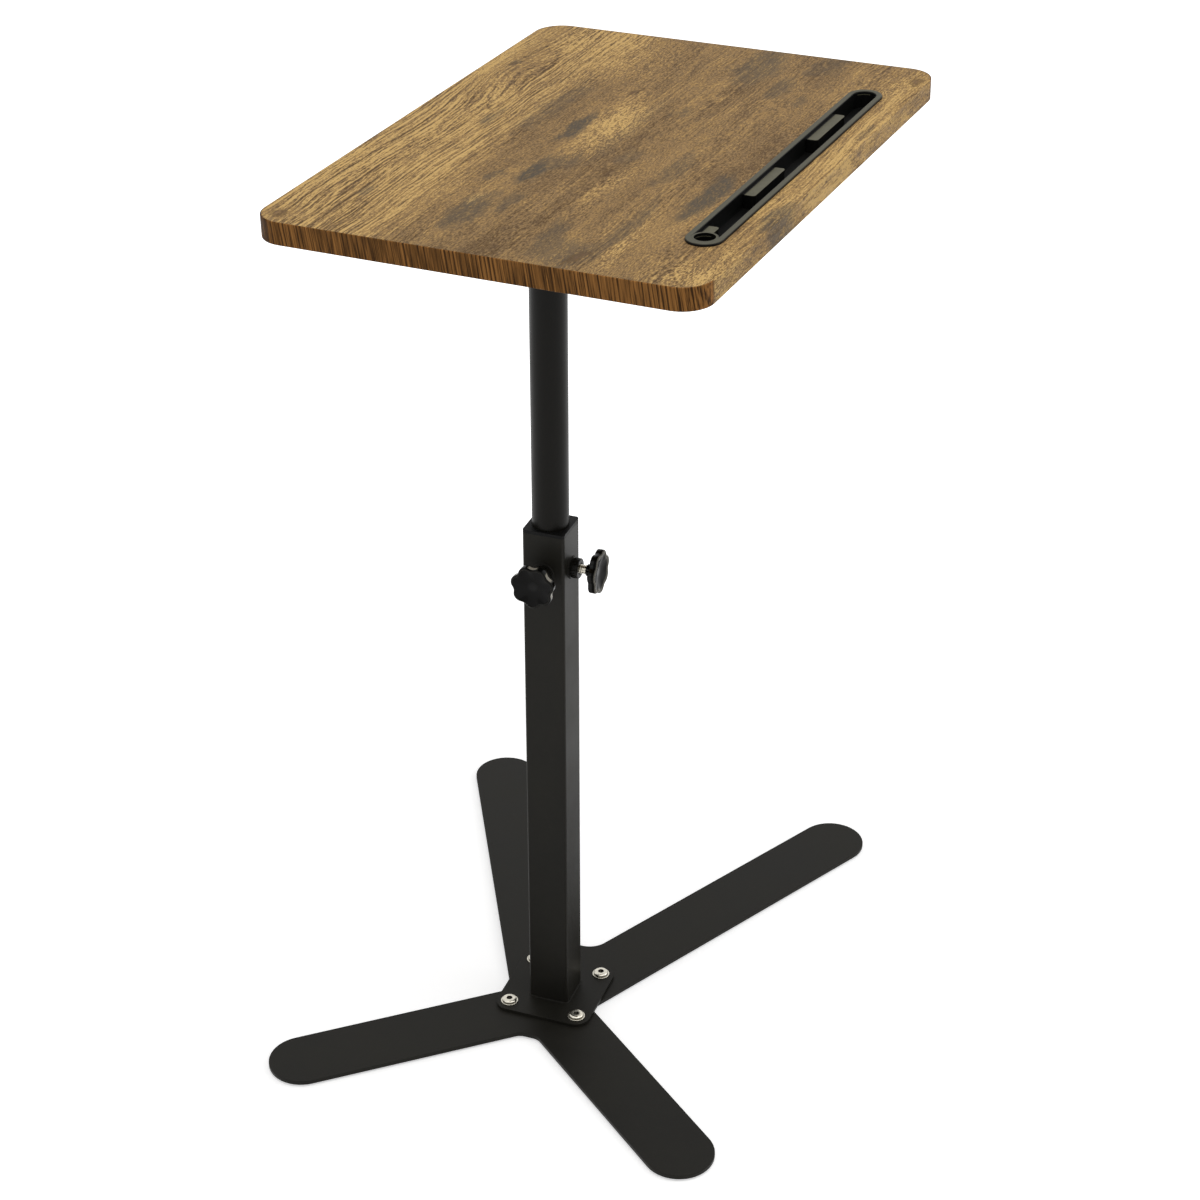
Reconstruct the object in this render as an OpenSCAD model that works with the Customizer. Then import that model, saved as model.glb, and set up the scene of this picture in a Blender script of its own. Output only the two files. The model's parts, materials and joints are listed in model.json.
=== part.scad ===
// Laptop desk on a flat steel cross base: a round mast slides and swivels in a square
// column, and carries a tilting board with a tablet slot along its rear side.
// The user sits at -Y, the tablet slot is at +Y, and the origin is on the floor
// under the mast's axis.

/* [Board] */
// Width of the board from left to right
top_w = 500; // [420:5:600]
// Depth of the board from the user's edge to the rear edge
top_d = 360; // [340:5:420]
// Thickness of the board
top_t = 18; // [17:0.5:25]
// Radius of the board's corners
top_r = 24; // [10:1:40]
// Distance from the mast's axis back to the middle of the board
top_shift = 60; // [40:1:80]
// Thickness of the edge band
band_t = 1; // [0.8:0.1:2]
// Rounding of the edge band's long edges
band_r = 0.7; // [0.4:0.1:0.8]

/* [Tablet tray] */
// Length of the tray's rim
tray_len = 357; // [300:1:390]
// Distance from the board's rear edge to the middle of the tray
tray_inset = 35; // [26:1:45]
// Sideways shift of the tray from the board's middle, away from the pen well
tray_shift = 2.5; // [0:0.5:10]
// Width of the tray's rim, all round
tray_rim_w = 5; // [4:0.5:7]
// Height of the rim above the board
tray_rim_h = 2; // [1.5:0.1:3]
// Rounding of the rim's top edges
rim_round = 1; // [0.4:0.1:1.4]
// Inner width of the tray's trough
trough_w = 18.8; // [17:0.1:21]
// Depth of the trough below the board's surface
trough_depth = 11.5; // [8:0.5:12]
// Wall thickness of the tray
tray_wall = 1.5; // [1:0.1:2]
// Width of the three ledges along the trough's front wall
ledge_w = 9.7; // [7:0.1:11]
// Length of each ledge
ledge_len = 62; // [40:1:80]
// Distance from one ledge to the next
ledge_pitch = 128.5; // [120:0.5:140]
// Distance from the tray's middle to the middle ledge
ledge_offset = 40; // [20:1:50]
// Depth of the ledges below the board's surface
ledge_drop = 0.7; // [0.5:0.1:3]
// Inner diameter of the pen well
well_d = 16; // [14:0.5:18]
// Width of the pen well's ring
well_wall = 2.4; // [2:0.1:4]

/* [Column] */
// Outer width of the square column tube
col_w = 38; // [36.5:0.5:45]
// Wall thickness of the column tube
col_wall = 1.5; // [1:0.1:2.2]
// Outer corner radius of the column tube
col_r = 2.6; // [2.3:0.1:4]
// Length of the column tube
col_len = 497; // [400:1:600]
// Turn of the column and base against the board at rest, in degrees
swivel_rest = 5; // [0:1:20]
// Height of the plastic bush's lip on top of the column
bush_lip = 3; // [2:0.5:5]
// Length of the bush inside the column
bush_len = 22; // [10:1:24]
// Distance from the column's top down to the clamp screws
clamp_drop = 39.5; // [33:0.5:60]
// Outer diameter of the threaded clamp bosses
boss_d = 18; // [14:1:22]
// Length of the threaded clamp bosses
boss_len = 8; // [5:0.5:10]

/* [Base] */
// Thickness of the flat base plate
base_t = 4; // [3:0.5:8]
// Width of each base arm
arm_w = 64; // [60:1:76]
// Distance from the column's axis to the point where the arms cross
arm_cross = 21; // [16:1:26]
// Length of the long arms, from the crossing to the round tip
long_arm = 421; // [330:1:480]
// Angle between each long arm and the base's centre line
long_angle = 27.5; // [25:0.5:34]
// Length of the short arms, from the crossing to the round tip
short_arm = 268; // [220:1:330]
// Angle between each short arm and the base's centre line
short_angle = 50; // [45:0.5:56]
// Radius between the long arms
rear_notch_r = 21; // [12:1:30]
// Depth of the flat-ended web between the short arms
front_web = 7.3; // [4:0.1:12]
// Radius between a long arm and a short arm
side_notch_r = 10; // [6:1:26]
// Width of the column's square foot flange
flange_w = 95; // [90:1:110]
// Thickness of the foot flange
flange_t = 3; // [3:0.5:8]
// Distance between neighbouring flange bolts
bolt_pitch = 67; // [60:1:72]
// Diameter of the rubber feet
foot_d = 30; // [20:1:40]
// Thickness of the rubber feet
foot_t = 2; // [1.5:0.5:6]

/* [Mast] */
// Outer diameter of the round mast
mast_d = 32; // [30:0.5:32]
// Wall thickness of the mast
mast_wall = 1.5; // [1:0.1:3]
// Length of the mast
mast_len = 500; // [420:1:520]
// Length of the mast that stands out of the column at rest
mast_out = 264; // [240:1:300]
// Height of the sliding block under the mast
guide_h = 30; // [20:1:50]
// Length of the block's round neck inside the mast
guide_neck = 20; // [10:1:30]

/* [Tilt head] */
// Tilt of the board at rest, in degrees
tilt_rest = 1.2; // [0:0.1:5]
// Largest tilt of the board, in degrees
tilt_max = 40; // [30:1:45]
// Distance from the board's underside down to the tilt pivot
pivot_drop = 27; // [26:0.5:32]
// Distance from the mast's end up to the tilt pivot
pivot_rise = 42; // [41:0.5:50]
// Distance from the tilt pivot to the lock screw
lock_radius = 26; // [25:0.5:28]
// Outer width of the yoke across its two cheeks
yoke_w = 40; // [38:1:46]
// Thickness of the yoke's steel
yoke_t = 4; // [3:0.5:5]
// Depth of the yoke from front to rear
yoke_d = 34; // [32:1:40]
// Thickness of the steel bracket under the board
plate_t = 3; // [2:0.5:4]
// Width of the bracket plate
plate_w = 110; // [100:1:140]
// Depth of the bracket plate
plate_d = 190; // [150:1:220]
// Distance from the mast's axis forward to the plate's front edge
plate_front = 65; // [55:1:80]

/* [Knobs] */
// Outer diameter of the star knobs
knob_d = 39.5; // [36:0.5:46]
// Number of lobes on a star knob
knob_lobes = 7; // [6:1:8]
// Radius of each lobe
lobe_r = 7; // [6:0.2:7.6]
// Radius of the valleys between the lobes
valley_r = 7; // [6:0.2:8]
// Thickness of the lobed head
knob_head_t = 7; // [5:0.5:10]
// Length of the knob's neck behind the head
knob_neck = 6.5; // [5:0.5:10]
// Length of the clamp screw that shows between boss and knob
screw_show = 6; // [5:0.5:12]

/* [Fasteners] */
// Diameter of the bolts and screws, apart from the wood screws
bolt_d = 8; // [6:0.5:8]
// Clearance all round a bolt in the hole that it turns in
run_fit = 0.05; // [0.03:0.01:0.08]
// Clearance all round a bolt in a plain hole
hole_fit = 0.3; // [0.2:0.05:0.5]
// Clearance between loose neighbours
gap = 0.3; // [0.25:0.05:0.4]
// Diameter of the wood screws' shanks
wood_d = 4; // [3:0.5:5]
// Length of the wood screws' shanks in the board
wood_len = 12; // [8:1:14]

/* [Hidden] */
$fn = 96;

// Overlap that lets a cut run clear of a face
cut = 1;

// Heights, from the floor up
plate_z = foot_t;
flange_z = plate_z + base_t;
col_z = flange_z + flange_t;
bush_z = col_z + col_len;
col_top = bush_z + bush_lip;
clamp_z = col_top - clamp_drop;
mast_top = col_top + mast_out;
mast_z = mast_top - mast_len;
pivot_z = mast_top + pivot_rise;
board_z = pivot_z + pivot_drop;
board_top = board_z + top_t;

// Column and mast
col_in = col_w - 2 * col_wall;
col_in_r = col_r - col_wall;
mast_r = mast_d / 2;
mast_in_r = mast_r - mast_wall;
bolt_r = bolt_d / 2;
clamp_dirs = [0, 90];

// Bolt, nut and washer sizes that follow the bolt's diameter
washer_t = 0.15 * bolt_d;
washer_d = 2 * bolt_d;
button_d = 1.7 * bolt_d;
button_h = 0.32 * bolt_d;
hex_w = 1.6 * bolt_d;
nut_h = bolt_d;
socket_w = 0.62 * bolt_d;
socket_h = 0.25 * bolt_d;
chamfer = 0.1 * bolt_d;

// Tilt head, measured out from the middle of the yoke
cheek_in = yoke_w / 2 - yoke_t;
thrust_t = 1;
face_gap = 0.1;
ear_in = yoke_w / 2 + thrust_t + 2 * face_gap;
ear_out = ear_in + plate_t;
boss_r = 14;
weld_nut_t = 6.5;
slot_half = bolt_r + 0.4;
slot_band = slot_half + 6;
end_ease = 0.05;
pivot_head = ear_out + face_gap + washer_t;
bolt_tail = 3;

// Knobs
core_r = knob_d / 2 - lobe_r;
lobe_step = 180 / knob_lobes;
valley_dist = core_r * cos(lobe_step)
    + sqrt(pow(lobe_r + valley_r, 2) - pow(core_r * sin(lobe_step), 2));
face_r = valley_dist - valley_r - 0.6;
neck_r = 1.7 * bolt_r;
clamp_knob_x = col_w / 2 + boss_len + screw_show;
clamp_tip_x = mast_r + gap;
screw_in_knob = knob_neck + 2.5;
lock_knob_x = ear_out + face_gap + washer_t;
lock_tip_x = cheek_in - weld_nut_t - 1.5;

// Tray, measured from the middle of the trough at the board's surface
tray_y = top_shift + top_d / 2 - tray_inset;
trough_r = trough_w / 2;
rim_r = trough_r + tray_rim_w;
tray_run = tray_len / 2 - rim_r;
shell_r = trough_r + tray_wall;
well_r = well_d / 2;
well_out = well_r + well_wall;
tray_bottom = trough_depth + tray_wall;
ring_drop = 0.1;
ledge_r = 2.5;

// Board
core_w = top_w - 2 * band_t;
core_d = top_d - 2 * band_t;
core_r_out = top_r - band_t;
plate_screw_x = plate_w / 2 - 12;
plate_screw_ys = [12 - plate_front, plate_d / 2 - plate_front, plate_d - plate_front - 12];
wood_head_d = 2.1 * wood_d;
wood_head_h = 0.6 * wood_d;

// Moves a sub-part of the board from level to its tilt at rest
module on_board() {
    translate([0, 0, pivot_z]) rotate([tilt_rest, 0, 0]) translate([0, 0, -pivot_z]) children();
}

// Turns a sub-part of the column or base to its place under the board
module on_column() {
    rotate(swivel_rest) children();
}

// Lays a sub-part that was drawn upright along +X, its start at the axis
module along_x() {
    rotate([0, 90, 0]) children();
}

module rounded_square(w, d, r) {
    square([w - 2 * r, d], center = true);
    square([w, d - 2 * r], center = true);
    for (x = [-1, 1], y = [-1, 1])
        translate([x * (w / 2 - r), y * (d / 2 - r)]) circle(r);
}

module stadium(run, r) {
    square([2 * run, 2 * r], center = true);
    for (x = [-1, 1]) translate([x * run, 0]) circle(r);
}

// Sweeps a profile drawn outward from the line along a stadium's middle line
module sweep_stadium(run) {
    for (side = [0, 180])
        rotate(side) {
            translate([-run, 0, 0]) rotate([90, 0, 90]) linear_extrude(2 * run) children();
            translate([run, 0, 0]) rotate(-90) rotate_extrude(angle = 180) children();
        }
}

// Sweeps a profile round a rounded rectangle: x = 0 is the corner arcs' middle
module sweep_rounded(w, d, r) {
    for (turn = [[0, w, d], [90, d, w], [180, w, d], [270, d, w]])
        rotate(turn[0]) {
            run = turn[2] / 2 - r;
            translate([turn[1] / 2 - r, 0, 0]) {
                translate([0, run, 0]) rotate([90, 0, 0]) linear_extrude(2 * run) children();
                translate([0, run, 0]) rotate_extrude(angle = 90) children();
            }
        }
}

// One base arm, from the crossing to its round tip
module arm(length, angle) {
    rotate(angle) {
        translate([0, -arm_w / 2]) square([length - arm_w / 2, arm_w]);
        translate([length - arm_w / 2, 0]) circle(d = arm_w);
    }
}

// Fills the notch between two arms with a round of radius r that runs into both
module notch(from, to, r) {
    half = (to - from) / 2;
    reach = (arm_w / 2 + r - end_ease) / sin(half);
    rotate(from + half)
        difference() {
            polygon([
                [0, 0],
                [reach - r * sin(half), -r * cos(half)],
                [reach, 0],
                [reach - r * sin(half), r * cos(half)]
            ]);
            translate([reach, 0]) circle(r);
        }
}

// Web with a straight edge in the corner between the short arms
module front_web() {
    corner = arm_w / 2 / sin(short_angle);
    side = front_web * tan(short_angle) + cut;
    polygon([[0, 0], [corner + front_web, -side], [corner + front_web, side]]);
}

module base_outline() {
    translate([arm_cross, 0]) {
        for (side = [-1, 1]) {
            arm(short_arm, side * short_angle);
            arm(long_arm, 180 + side * long_angle);
        }
        front_web();
        notch(180 - long_angle, 180 + long_angle, rear_notch_r);
        notch(short_angle, 180 - long_angle, side_notch_r);
        notch(long_angle - 180, -short_angle, side_notch_r);
    }
}

module at_flange_bolts() {
    for (x = [-1, 1], y = [-1, 1])
        translate([x * bolt_pitch / 2, y * bolt_pitch / 2, 0]) children();
}

module base_plate() {
    color("#2e2c28")
    on_column()
    difference() {
        translate([0, 0, plate_z]) linear_extrude(base_t) base_outline();
        at_flange_bolts() translate([0, 0, plate_z - cut])
            cylinder(r = bolt_r + run_fit, h = base_t + 2 * cut);
    }
}

// Rubber feet: one under each arm's round tip, and one under the column
module foot_pads() {
    color("#1d1d1c")
    on_column() {
        foot();
        translate([arm_cross, 0, 0])
            for (side = [-1, 1]) {
                rotate(side * short_angle) translate([short_arm - arm_w / 2, 0, 0]) foot();
                rotate(180 + side * long_angle) translate([long_arm - arm_w / 2, 0, 0]) foot();
            }
    }
}

module foot() {
    cylinder(d1 = foot_d - foot_t, d2 = foot_d, h = foot_t);
}

module column_flange() {
    color("#2e2c28")
    on_column()
    difference() {
        translate([0, 0, flange_z]) linear_extrude(flange_t)
            rounded_square(flange_w, flange_w, (flange_w - bolt_pitch) / 2);
        at_flange_bolts() translate([0, 0, flange_z - cut])
            cylinder(r = bolt_r + hole_fit, h = flange_t + 2 * cut);
    }
}

module column_tube() {
    color("#3a3836")
    on_column()
    difference() {
        translate([0, 0, col_z]) linear_extrude(col_len) difference() {
            rounded_square(col_w, col_w, col_r);
            rounded_square(col_in, col_in, col_in_r);
        }
        for (dir = clamp_dirs)
            rotate(dir) translate([mast_r, 0, clamp_z]) along_x()
                cylinder(r = bolt_r + hole_fit, h = col_w / 2);
    }
}

// Button head with a hex socket, its seat at z = 0
module button_head() {
    difference() {
        intersection() {
            cylinder(d = button_d, h = button_h);
            translate([0, 0, button_h - 1.1 * button_d]) sphere(d = 2.2 * button_d);
        }
        translate([0, 0, button_h - socket_h]) cylinder(d = socket_w / cos(30), h = socket_h + cut, $fn = 6);
    }
}

module flange_bolts() {
    color("#d8d6d0")
    on_column()
    at_flange_bolts() {
        translate([0, 0, col_z + washer_t]) button_head();
        translate([0, 0, plate_z]) cylinder(r = bolt_r, h = base_t + flange_t + washer_t);
    }
}

module washer(inner_r) {
    difference() {
        cylinder(d = washer_d, h = washer_t);
        translate([0, 0, -cut]) cylinder(r = inner_r, h = washer_t + 2 * cut);
    }
}

module flange_washers() {
    color("#c9c7c1")
    on_column()
    at_flange_bolts() translate([0, 0, col_z]) washer(bolt_r + hole_fit);
}

// Plastic guide in the column's mouth, which the mast slides and turns in
module column_bush() {
    color("#1b1b1b")
    on_column()
    difference() {
        union() {
            translate([0, 0, bush_z]) linear_extrude(bush_lip)
                rounded_square(col_w, col_w, col_r);
            translate([0, 0, bush_z - bush_len]) linear_extrude(bush_len)
                rounded_square(col_in - 2 * run_fit, col_in - 2 * run_fit, col_in_r);
        }
        translate([0, 0, bush_z - bush_len - cut])
            cylinder(r = mast_r + 2 * run_fit, h = bush_len + bush_lip + 2 * cut);
    }
}

// Threaded boss welded to the column's face
module clamp_boss(dir) {
    color("#262524")
    on_column() rotate(dir) translate([col_w / 2, 0, clamp_z]) along_x()
        difference() {
            union() {
                cylinder(d = boss_d, h = boss_len - chamfer);
                translate([0, 0, boss_len - chamfer])
                    cylinder(d1 = boss_d, d2 = boss_d - 2 * chamfer, h = chamfer);
            }
            translate([0, 0, -cut]) cylinder(r = bolt_r + run_fit, h = boss_len + 2 * cut);
        }
}

module front_boss() {
    clamp_boss(clamp_dirs[0]);
}

module side_boss() {
    clamp_boss(clamp_dirs[1]);
}

// Screw shank with a chamfered tip, from z = 0 up
module screw_shank(length) {
    cylinder(r1 = bolt_r - chamfer, r2 = bolt_r, h = chamfer);
    translate([0, 0, chamfer]) cylinder(r = bolt_r, h = length - chamfer);
}

module clamp_screw(dir) {
    color("#d2cfc8")
    on_column() rotate(dir) translate([clamp_tip_x, 0, clamp_z]) along_x()
        screw_shank(clamp_knob_x + screw_in_knob - clamp_tip_x);
}

module front_clamp_screw() {
    clamp_screw(clamp_dirs[0]);
}

module side_clamp_screw() {
    clamp_screw(clamp_dirs[1]);
}

// Outline of a star knob: lobes and valleys that meet in tangent arcs
module knob_outline() {
    difference() {
        union() {
            polygon([
                for (i = [0 : 2 * knob_lobes - 1])
                    (i % 2 == 0 ? core_r : valley_dist) * [cos(i * lobe_step), sin(i * lobe_step)]
            ]);
            for (i = [0 : knob_lobes - 1])
                rotate(2 * i * lobe_step) translate([core_r, 0]) circle(lobe_r);
        }
        for (i = [0 : knob_lobes - 1])
            rotate((2 * i + 1) * lobe_step) translate([valley_dist, 0]) circle(valley_r);
    }
}

// Star knob: neck, lobed head and a dished face inside a thin round rim
module star_knob() {
    rim = 1.2;
    rise = 0.8;
    difference() {
        union() {
            cylinder(r1 = neck_r, r2 = neck_r + 2, h = knob_neck);
            translate([0, 0, knob_neck]) linear_extrude(knob_head_t - rise) knob_outline();
            translate([0, 0, knob_neck + knob_head_t - rise]) cylinder(r1 = face_r, r2 = face_r - 0.4, h = rise);
        }
        translate([0, 0, knob_neck + knob_head_t - rise]) cylinder(r = face_r - rim, h = rise + cut);
        translate([0, 0, -cut]) cylinder(r = bolt_r + run_fit, h = screw_in_knob + run_fit + cut);
    }
}

module clamp_knob(dir) {
    color("#1c1b1a")
    on_column() rotate(dir) translate([clamp_knob_x, 0, clamp_z]) along_x() star_knob();
}

module front_clamp_knob() {
    clamp_knob(clamp_dirs[0]);
}

module side_clamp_knob() {
    clamp_knob(clamp_dirs[1]);
}

// Square block that slides in the column, with a round neck that the mast turns on
module lower_guide() {
    color("#e4e2da")
    on_column() {
        translate([0, 0, mast_z - gap - guide_h]) linear_extrude(guide_h)
            rounded_square(col_in - 2 * gap, col_in - 2 * gap, col_in_r);
        translate([0, 0, mast_z - gap]) cylinder(r = mast_in_r - 2 * run_fit, h = guide_neck + gap);
    }
}

module mast_tube() {
    color("#35332f")
    translate([0, 0, mast_z]) linear_extrude(mast_len) difference() {
        circle(mast_r);
        circle(mast_in_r);
    }
}

// Draws an outline in the YZ plane and gives it a thickness along +X
module upright(thickness) {
    rotate([90, 0, 90]) linear_extrude(thickness) children();
}

module yoke_cheek() {
    difference() {
        union() {
            translate([-yoke_d / 2, -pivot_rise]) square([yoke_d, pivot_rise - boss_r]);
            translate([-boss_r, -boss_r - cut]) square([2 * boss_r, boss_r + cut]);
            circle(boss_r);
        }
        circle(bolt_r + run_fit);
    }
}

// U-shaped steel yoke on the mast's end, which carries the pivot bolt
module tilt_yoke() {
    color("#2b2a27")
    translate([0, 0, pivot_z]) difference() {
        union() {
            for (x = [-yoke_w / 2, cheek_in]) translate([x, 0, 0]) upright(yoke_t) yoke_cheek();
            translate([-yoke_w / 2, -yoke_d / 2, -pivot_rise]) cube([yoke_w, yoke_d, yoke_t]);
        }
        translate([cheek_in - cut, 0, -lock_radius]) along_x()
            cylinder(r = bolt_r + hole_fit, h = yoke_t + 2 * cut);
    }
}

module tilt_weld_nut() {
    color("#8c8a85")
    translate([cheek_in - weld_nut_t, 0, pivot_z - lock_radius]) along_x() difference() {
        cylinder(d = hex_w / cos(30), h = weld_nut_t, $fn = 6);
        translate([0, 0, -cut]) cylinder(r = bolt_r + run_fit, h = weld_nut_t + 2 * cut);
    }
}

// Nylon washers between the yoke's cheeks and the bracket's ears
module thrust_washers() {
    color("#dddbd2")
    for (side = [0, 180])
        translate([0, 0, pivot_z]) rotate(side) translate([yoke_w / 2 + face_gap, 0, 0]) along_x()
            difference() {
                cylinder(r = boss_r - 2, h = thrust_t);
                translate([0, 0, -cut]) cylinder(r = bolt_r + run_fit, h = thrust_t + 2 * cut);
            }
}

module pivot_bolt() {
    color("#cfcdc6")
    translate([0, 0, pivot_z]) {
        translate([pivot_head, 0, 0]) along_x() button_head();
        translate([-pivot_head - nut_h - bolt_tail, 0, 0]) along_x()
            screw_shank(2 * pivot_head + nut_h + bolt_tail);
    }
}

module pivot_nut() {
    color("#b9b7b1")
    translate([-pivot_head, 0, pivot_z]) rotate([0, -90, 0]) difference() {
        union() {
            cylinder(d = hex_w / cos(30), h = 0.8 * nut_h, $fn = 6);
            cylinder(d = hex_w - chamfer, h = nut_h);
        }
        translate([0, 0, -cut]) cylinder(r = bolt_r + run_fit, h = nut_h + 2 * cut);
    }
}

module pivot_washers() {
    color("#c9c7c1")
    for (side = [0, 180])
        translate([0, 0, pivot_z]) rotate(side) translate([ear_out + face_gap, 0, 0]) along_x()
            washer(bolt_r + run_fit);
}

module tilt_lock_screw() {
    color("#d2cfc8")
    translate([lock_tip_x, 0, pivot_z - lock_radius]) along_x()
        screw_shank(lock_knob_x + screw_in_knob - lock_tip_x);
}

module tilt_lock_washer() {
    color("#c9c7c1")
    translate([ear_out + face_gap, 0, pivot_z - lock_radius]) along_x() washer(bolt_r + run_fit);
}

module tilt_lock_knob() {
    color("#1c1b1a")
    translate([lock_knob_x, 0, pivot_z - lock_radius]) along_x() star_knob();
}

// Part of a disc round the pivot, from straight down towards the user by the largest tilt
module tilt_sector(r) {
    far = 2 * r;
    intersection() {
        circle(r);
        polygon([
            [0, 0],
            far * [cos(-90), sin(-90)],
            far * [cos(-90 - tilt_max / 2), sin(-90 - tilt_max / 2)],
            far * [cos(-90 - tilt_max), sin(-90 - tilt_max)]
        ]);
    }
}

// Puts a sub-part at both ends of the lock screw's way through the ear
module at_lock_ends() {
    for (a = [-90, -90 - tilt_max]) rotate(a) children();
}

// Round boss with a foot that widens up to the bracket's plate
module ear_root() {
    root_y = boss_r + 12;
    circle(boss_r);
    polygon([[-boss_r, 0], [boss_r, 0], [root_y, pivot_drop - cut], [-root_y, pivot_drop - cut]]);
}

module plain_ear_outline() {
    difference() {
        ear_root();
        circle(bolt_r + run_fit);
    }
}

// Ear with a curved slot: its round ends stand out of its arcs by a hair
module ear_outline() {
    difference() {
        union() {
            ear_root();
            tilt_sector(lock_radius + slot_band - end_ease);
            at_lock_ends() {
                translate([0, -slot_band]) square([lock_radius, 2 * slot_band]);
                translate([lock_radius, 0]) circle(slot_band);
            }
        }
        circle(bolt_r + run_fit);
        difference() {
            tilt_sector(lock_radius + slot_half - end_ease);
            circle(lock_radius - slot_half + end_ease);
        }
        at_lock_ends() translate([lock_radius, 0]) circle(slot_half);
    }
}

module at_bracket_screws() {
    for (x = [-plate_screw_x, plate_screw_x], y = plate_screw_ys)
        translate([x, y, board_z]) children();
}

// Steel plate under the board, with two ears on the pivot and a slot for the lock screw
module top_bracket() {
    color("#2b2a27")
    on_board()
    difference() {
        union() {
            translate([0, plate_d / 2 - plate_front, board_z - plate_t])
                linear_extrude(plate_t) rounded_square(plate_w, plate_d, 10);
            translate([ear_in, 0, pivot_z]) upright(plate_t) ear_outline();
            translate([-ear_out, 0, pivot_z]) upright(plate_t) plain_ear_outline();
        }
        at_bracket_screws() translate([0, 0, -plate_t - cut])
            cylinder(r = wood_d / 2 + hole_fit, h = plate_t + 2 * cut);
    }
}

module bracket_screws() {
    color("#b9b7b1")
    on_board()
    at_bracket_screws() {
        translate([0, 0, -plate_t]) cylinder(d = wood_d, h = plate_t + wood_len - wood_d);
        translate([0, 0, wood_len - wood_d]) cylinder(d1 = wood_d, d2 = 0.6, h = wood_d);
        translate([0, 0, -plate_t - wood_head_h])
            cylinder(d1 = 0.7 * wood_head_d, d2 = wood_head_d, h = wood_head_h);
    }
}

// Outline of the pocket that the tray drops into
module tray_pocket() {
    translate([-tray_shift, 0]) {
        stadium(tray_run, shell_r + gap);
        translate([tray_run, 0]) circle(well_out + gap);
    }
}

module table_top() {
    color("#9a7a4a")
    on_board()
    difference() {
        translate([0, top_shift, board_z]) linear_extrude(top_t)
            rounded_square(core_w, core_d, core_r_out);
        translate([0, tray_y, board_top - tray_bottom - gap])
            linear_extrude(tray_bottom + gap + cut) tray_pocket();
        at_bracket_screws() translate([0, 0, -cut])
            cylinder(r = wood_d / 2 + run_fit, h = wood_len + 2 * cut);
    }
}

module band_profile() {
    inner = core_r_out;
    outer = core_r_out + band_t;
    difference() {
        translate([inner, 0]) square([band_t, top_t]);
        for (y = [0, top_t])
            translate([outer - band_r, y == 0 ? band_r : top_t - band_r]) difference() {
                translate([0, y == 0 ? -band_r - cut : 0]) square([band_r + cut, band_r + cut]);
                circle(band_r);
            }
    }
}

module edge_band() {
    color("#7a5232")
    on_board()
    translate([0, top_shift, board_z]) sweep_rounded(top_w, top_d, top_r) band_profile();
}

// Bar with two rounded top edges, standing on the line y = 0
module rim_profile(start, w, h) {
    foot_h = h - rim_round;
    translate([start, 0]) {
        square([w, foot_h]);
        translate([0, foot_h]) intersection() {
            union() {
                translate([rim_round, 0]) square([w - 2 * rim_round, rim_round]);
                for (x = [rim_round, w - rim_round]) translate([x, 0]) circle(rim_round);
            }
            square([w, rim_round]);
        }
    }
}

// Moulded tray: rim, trough with three ledges for a tablet, and a round pen well
module tablet_tray() {
    color("#232323")
    on_board()
    translate([-tray_shift, tray_y, board_top]) difference() {
        union() {
            sweep_stadium(tray_run) rim_profile(trough_r, tray_rim_w, tray_rim_h);
            difference() {
                union() {
                    translate([0, 0, -tray_bottom]) linear_extrude(tray_bottom) stadium(tray_run, shell_r);
                    translate([tray_run, 0, -tray_bottom]) cylinder(r = well_out, h = tray_bottom);
                }
                difference() {
                    translate([0, 0, -trough_depth])
                        linear_extrude(trough_depth + cut) stadium(tray_run, trough_r);
                    translate([tray_run, 0, -tray_bottom])
                        cylinder(r = well_out, h = tray_bottom + 2 * cut);
                }
            }
            translate([tray_run, 0, 0]) rotate_extrude()
                rim_profile(well_r - cut, well_wall + cut, tray_rim_h - ring_drop);
            tray_ledges();
        }
        translate([tray_run, 0, -trough_depth]) cylinder(r = well_r, h = trough_depth + tray_rim_h + cut);
    }
}

module tray_ledges() {
    intersection() {
        for (i = [-1, 0, 1])
            translate([ledge_offset + i * ledge_pitch, (ledge_w - cut) / 2 - trough_r, -trough_depth - tray_wall / 2])
                linear_extrude(trough_depth + tray_wall / 2 - ledge_drop)
                    rounded_square(ledge_len, ledge_w + cut, ledge_r);
        translate([0, 0, -tray_bottom]) linear_extrude(tray_bottom) stadium(tray_run, shell_r - tray_wall / 2);
    }
}

base_plate();
foot_pads();
column_flange();
column_tube();
flange_bolts();
flange_washers();
column_bush();
front_boss();
side_boss();
front_clamp_screw();
front_clamp_knob();
side_clamp_screw();
side_clamp_knob();
lower_guide();
mast_tube();
tilt_yoke();
tilt_weld_nut();
thrust_washers();
pivot_bolt();
pivot_nut();
pivot_washers();
tilt_lock_screw();
tilt_lock_washer();
tilt_lock_knob();
top_bracket();
bracket_screws();
table_top();
edge_band();
tablet_tray();
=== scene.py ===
import json
import math
from functools import cache, partialmethod

import bmesh
import bpy
from bpy.props import FloatProperty, FloatVectorProperty, IntProperty, PointerProperty
from mathutils import Matrix, Vector


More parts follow.
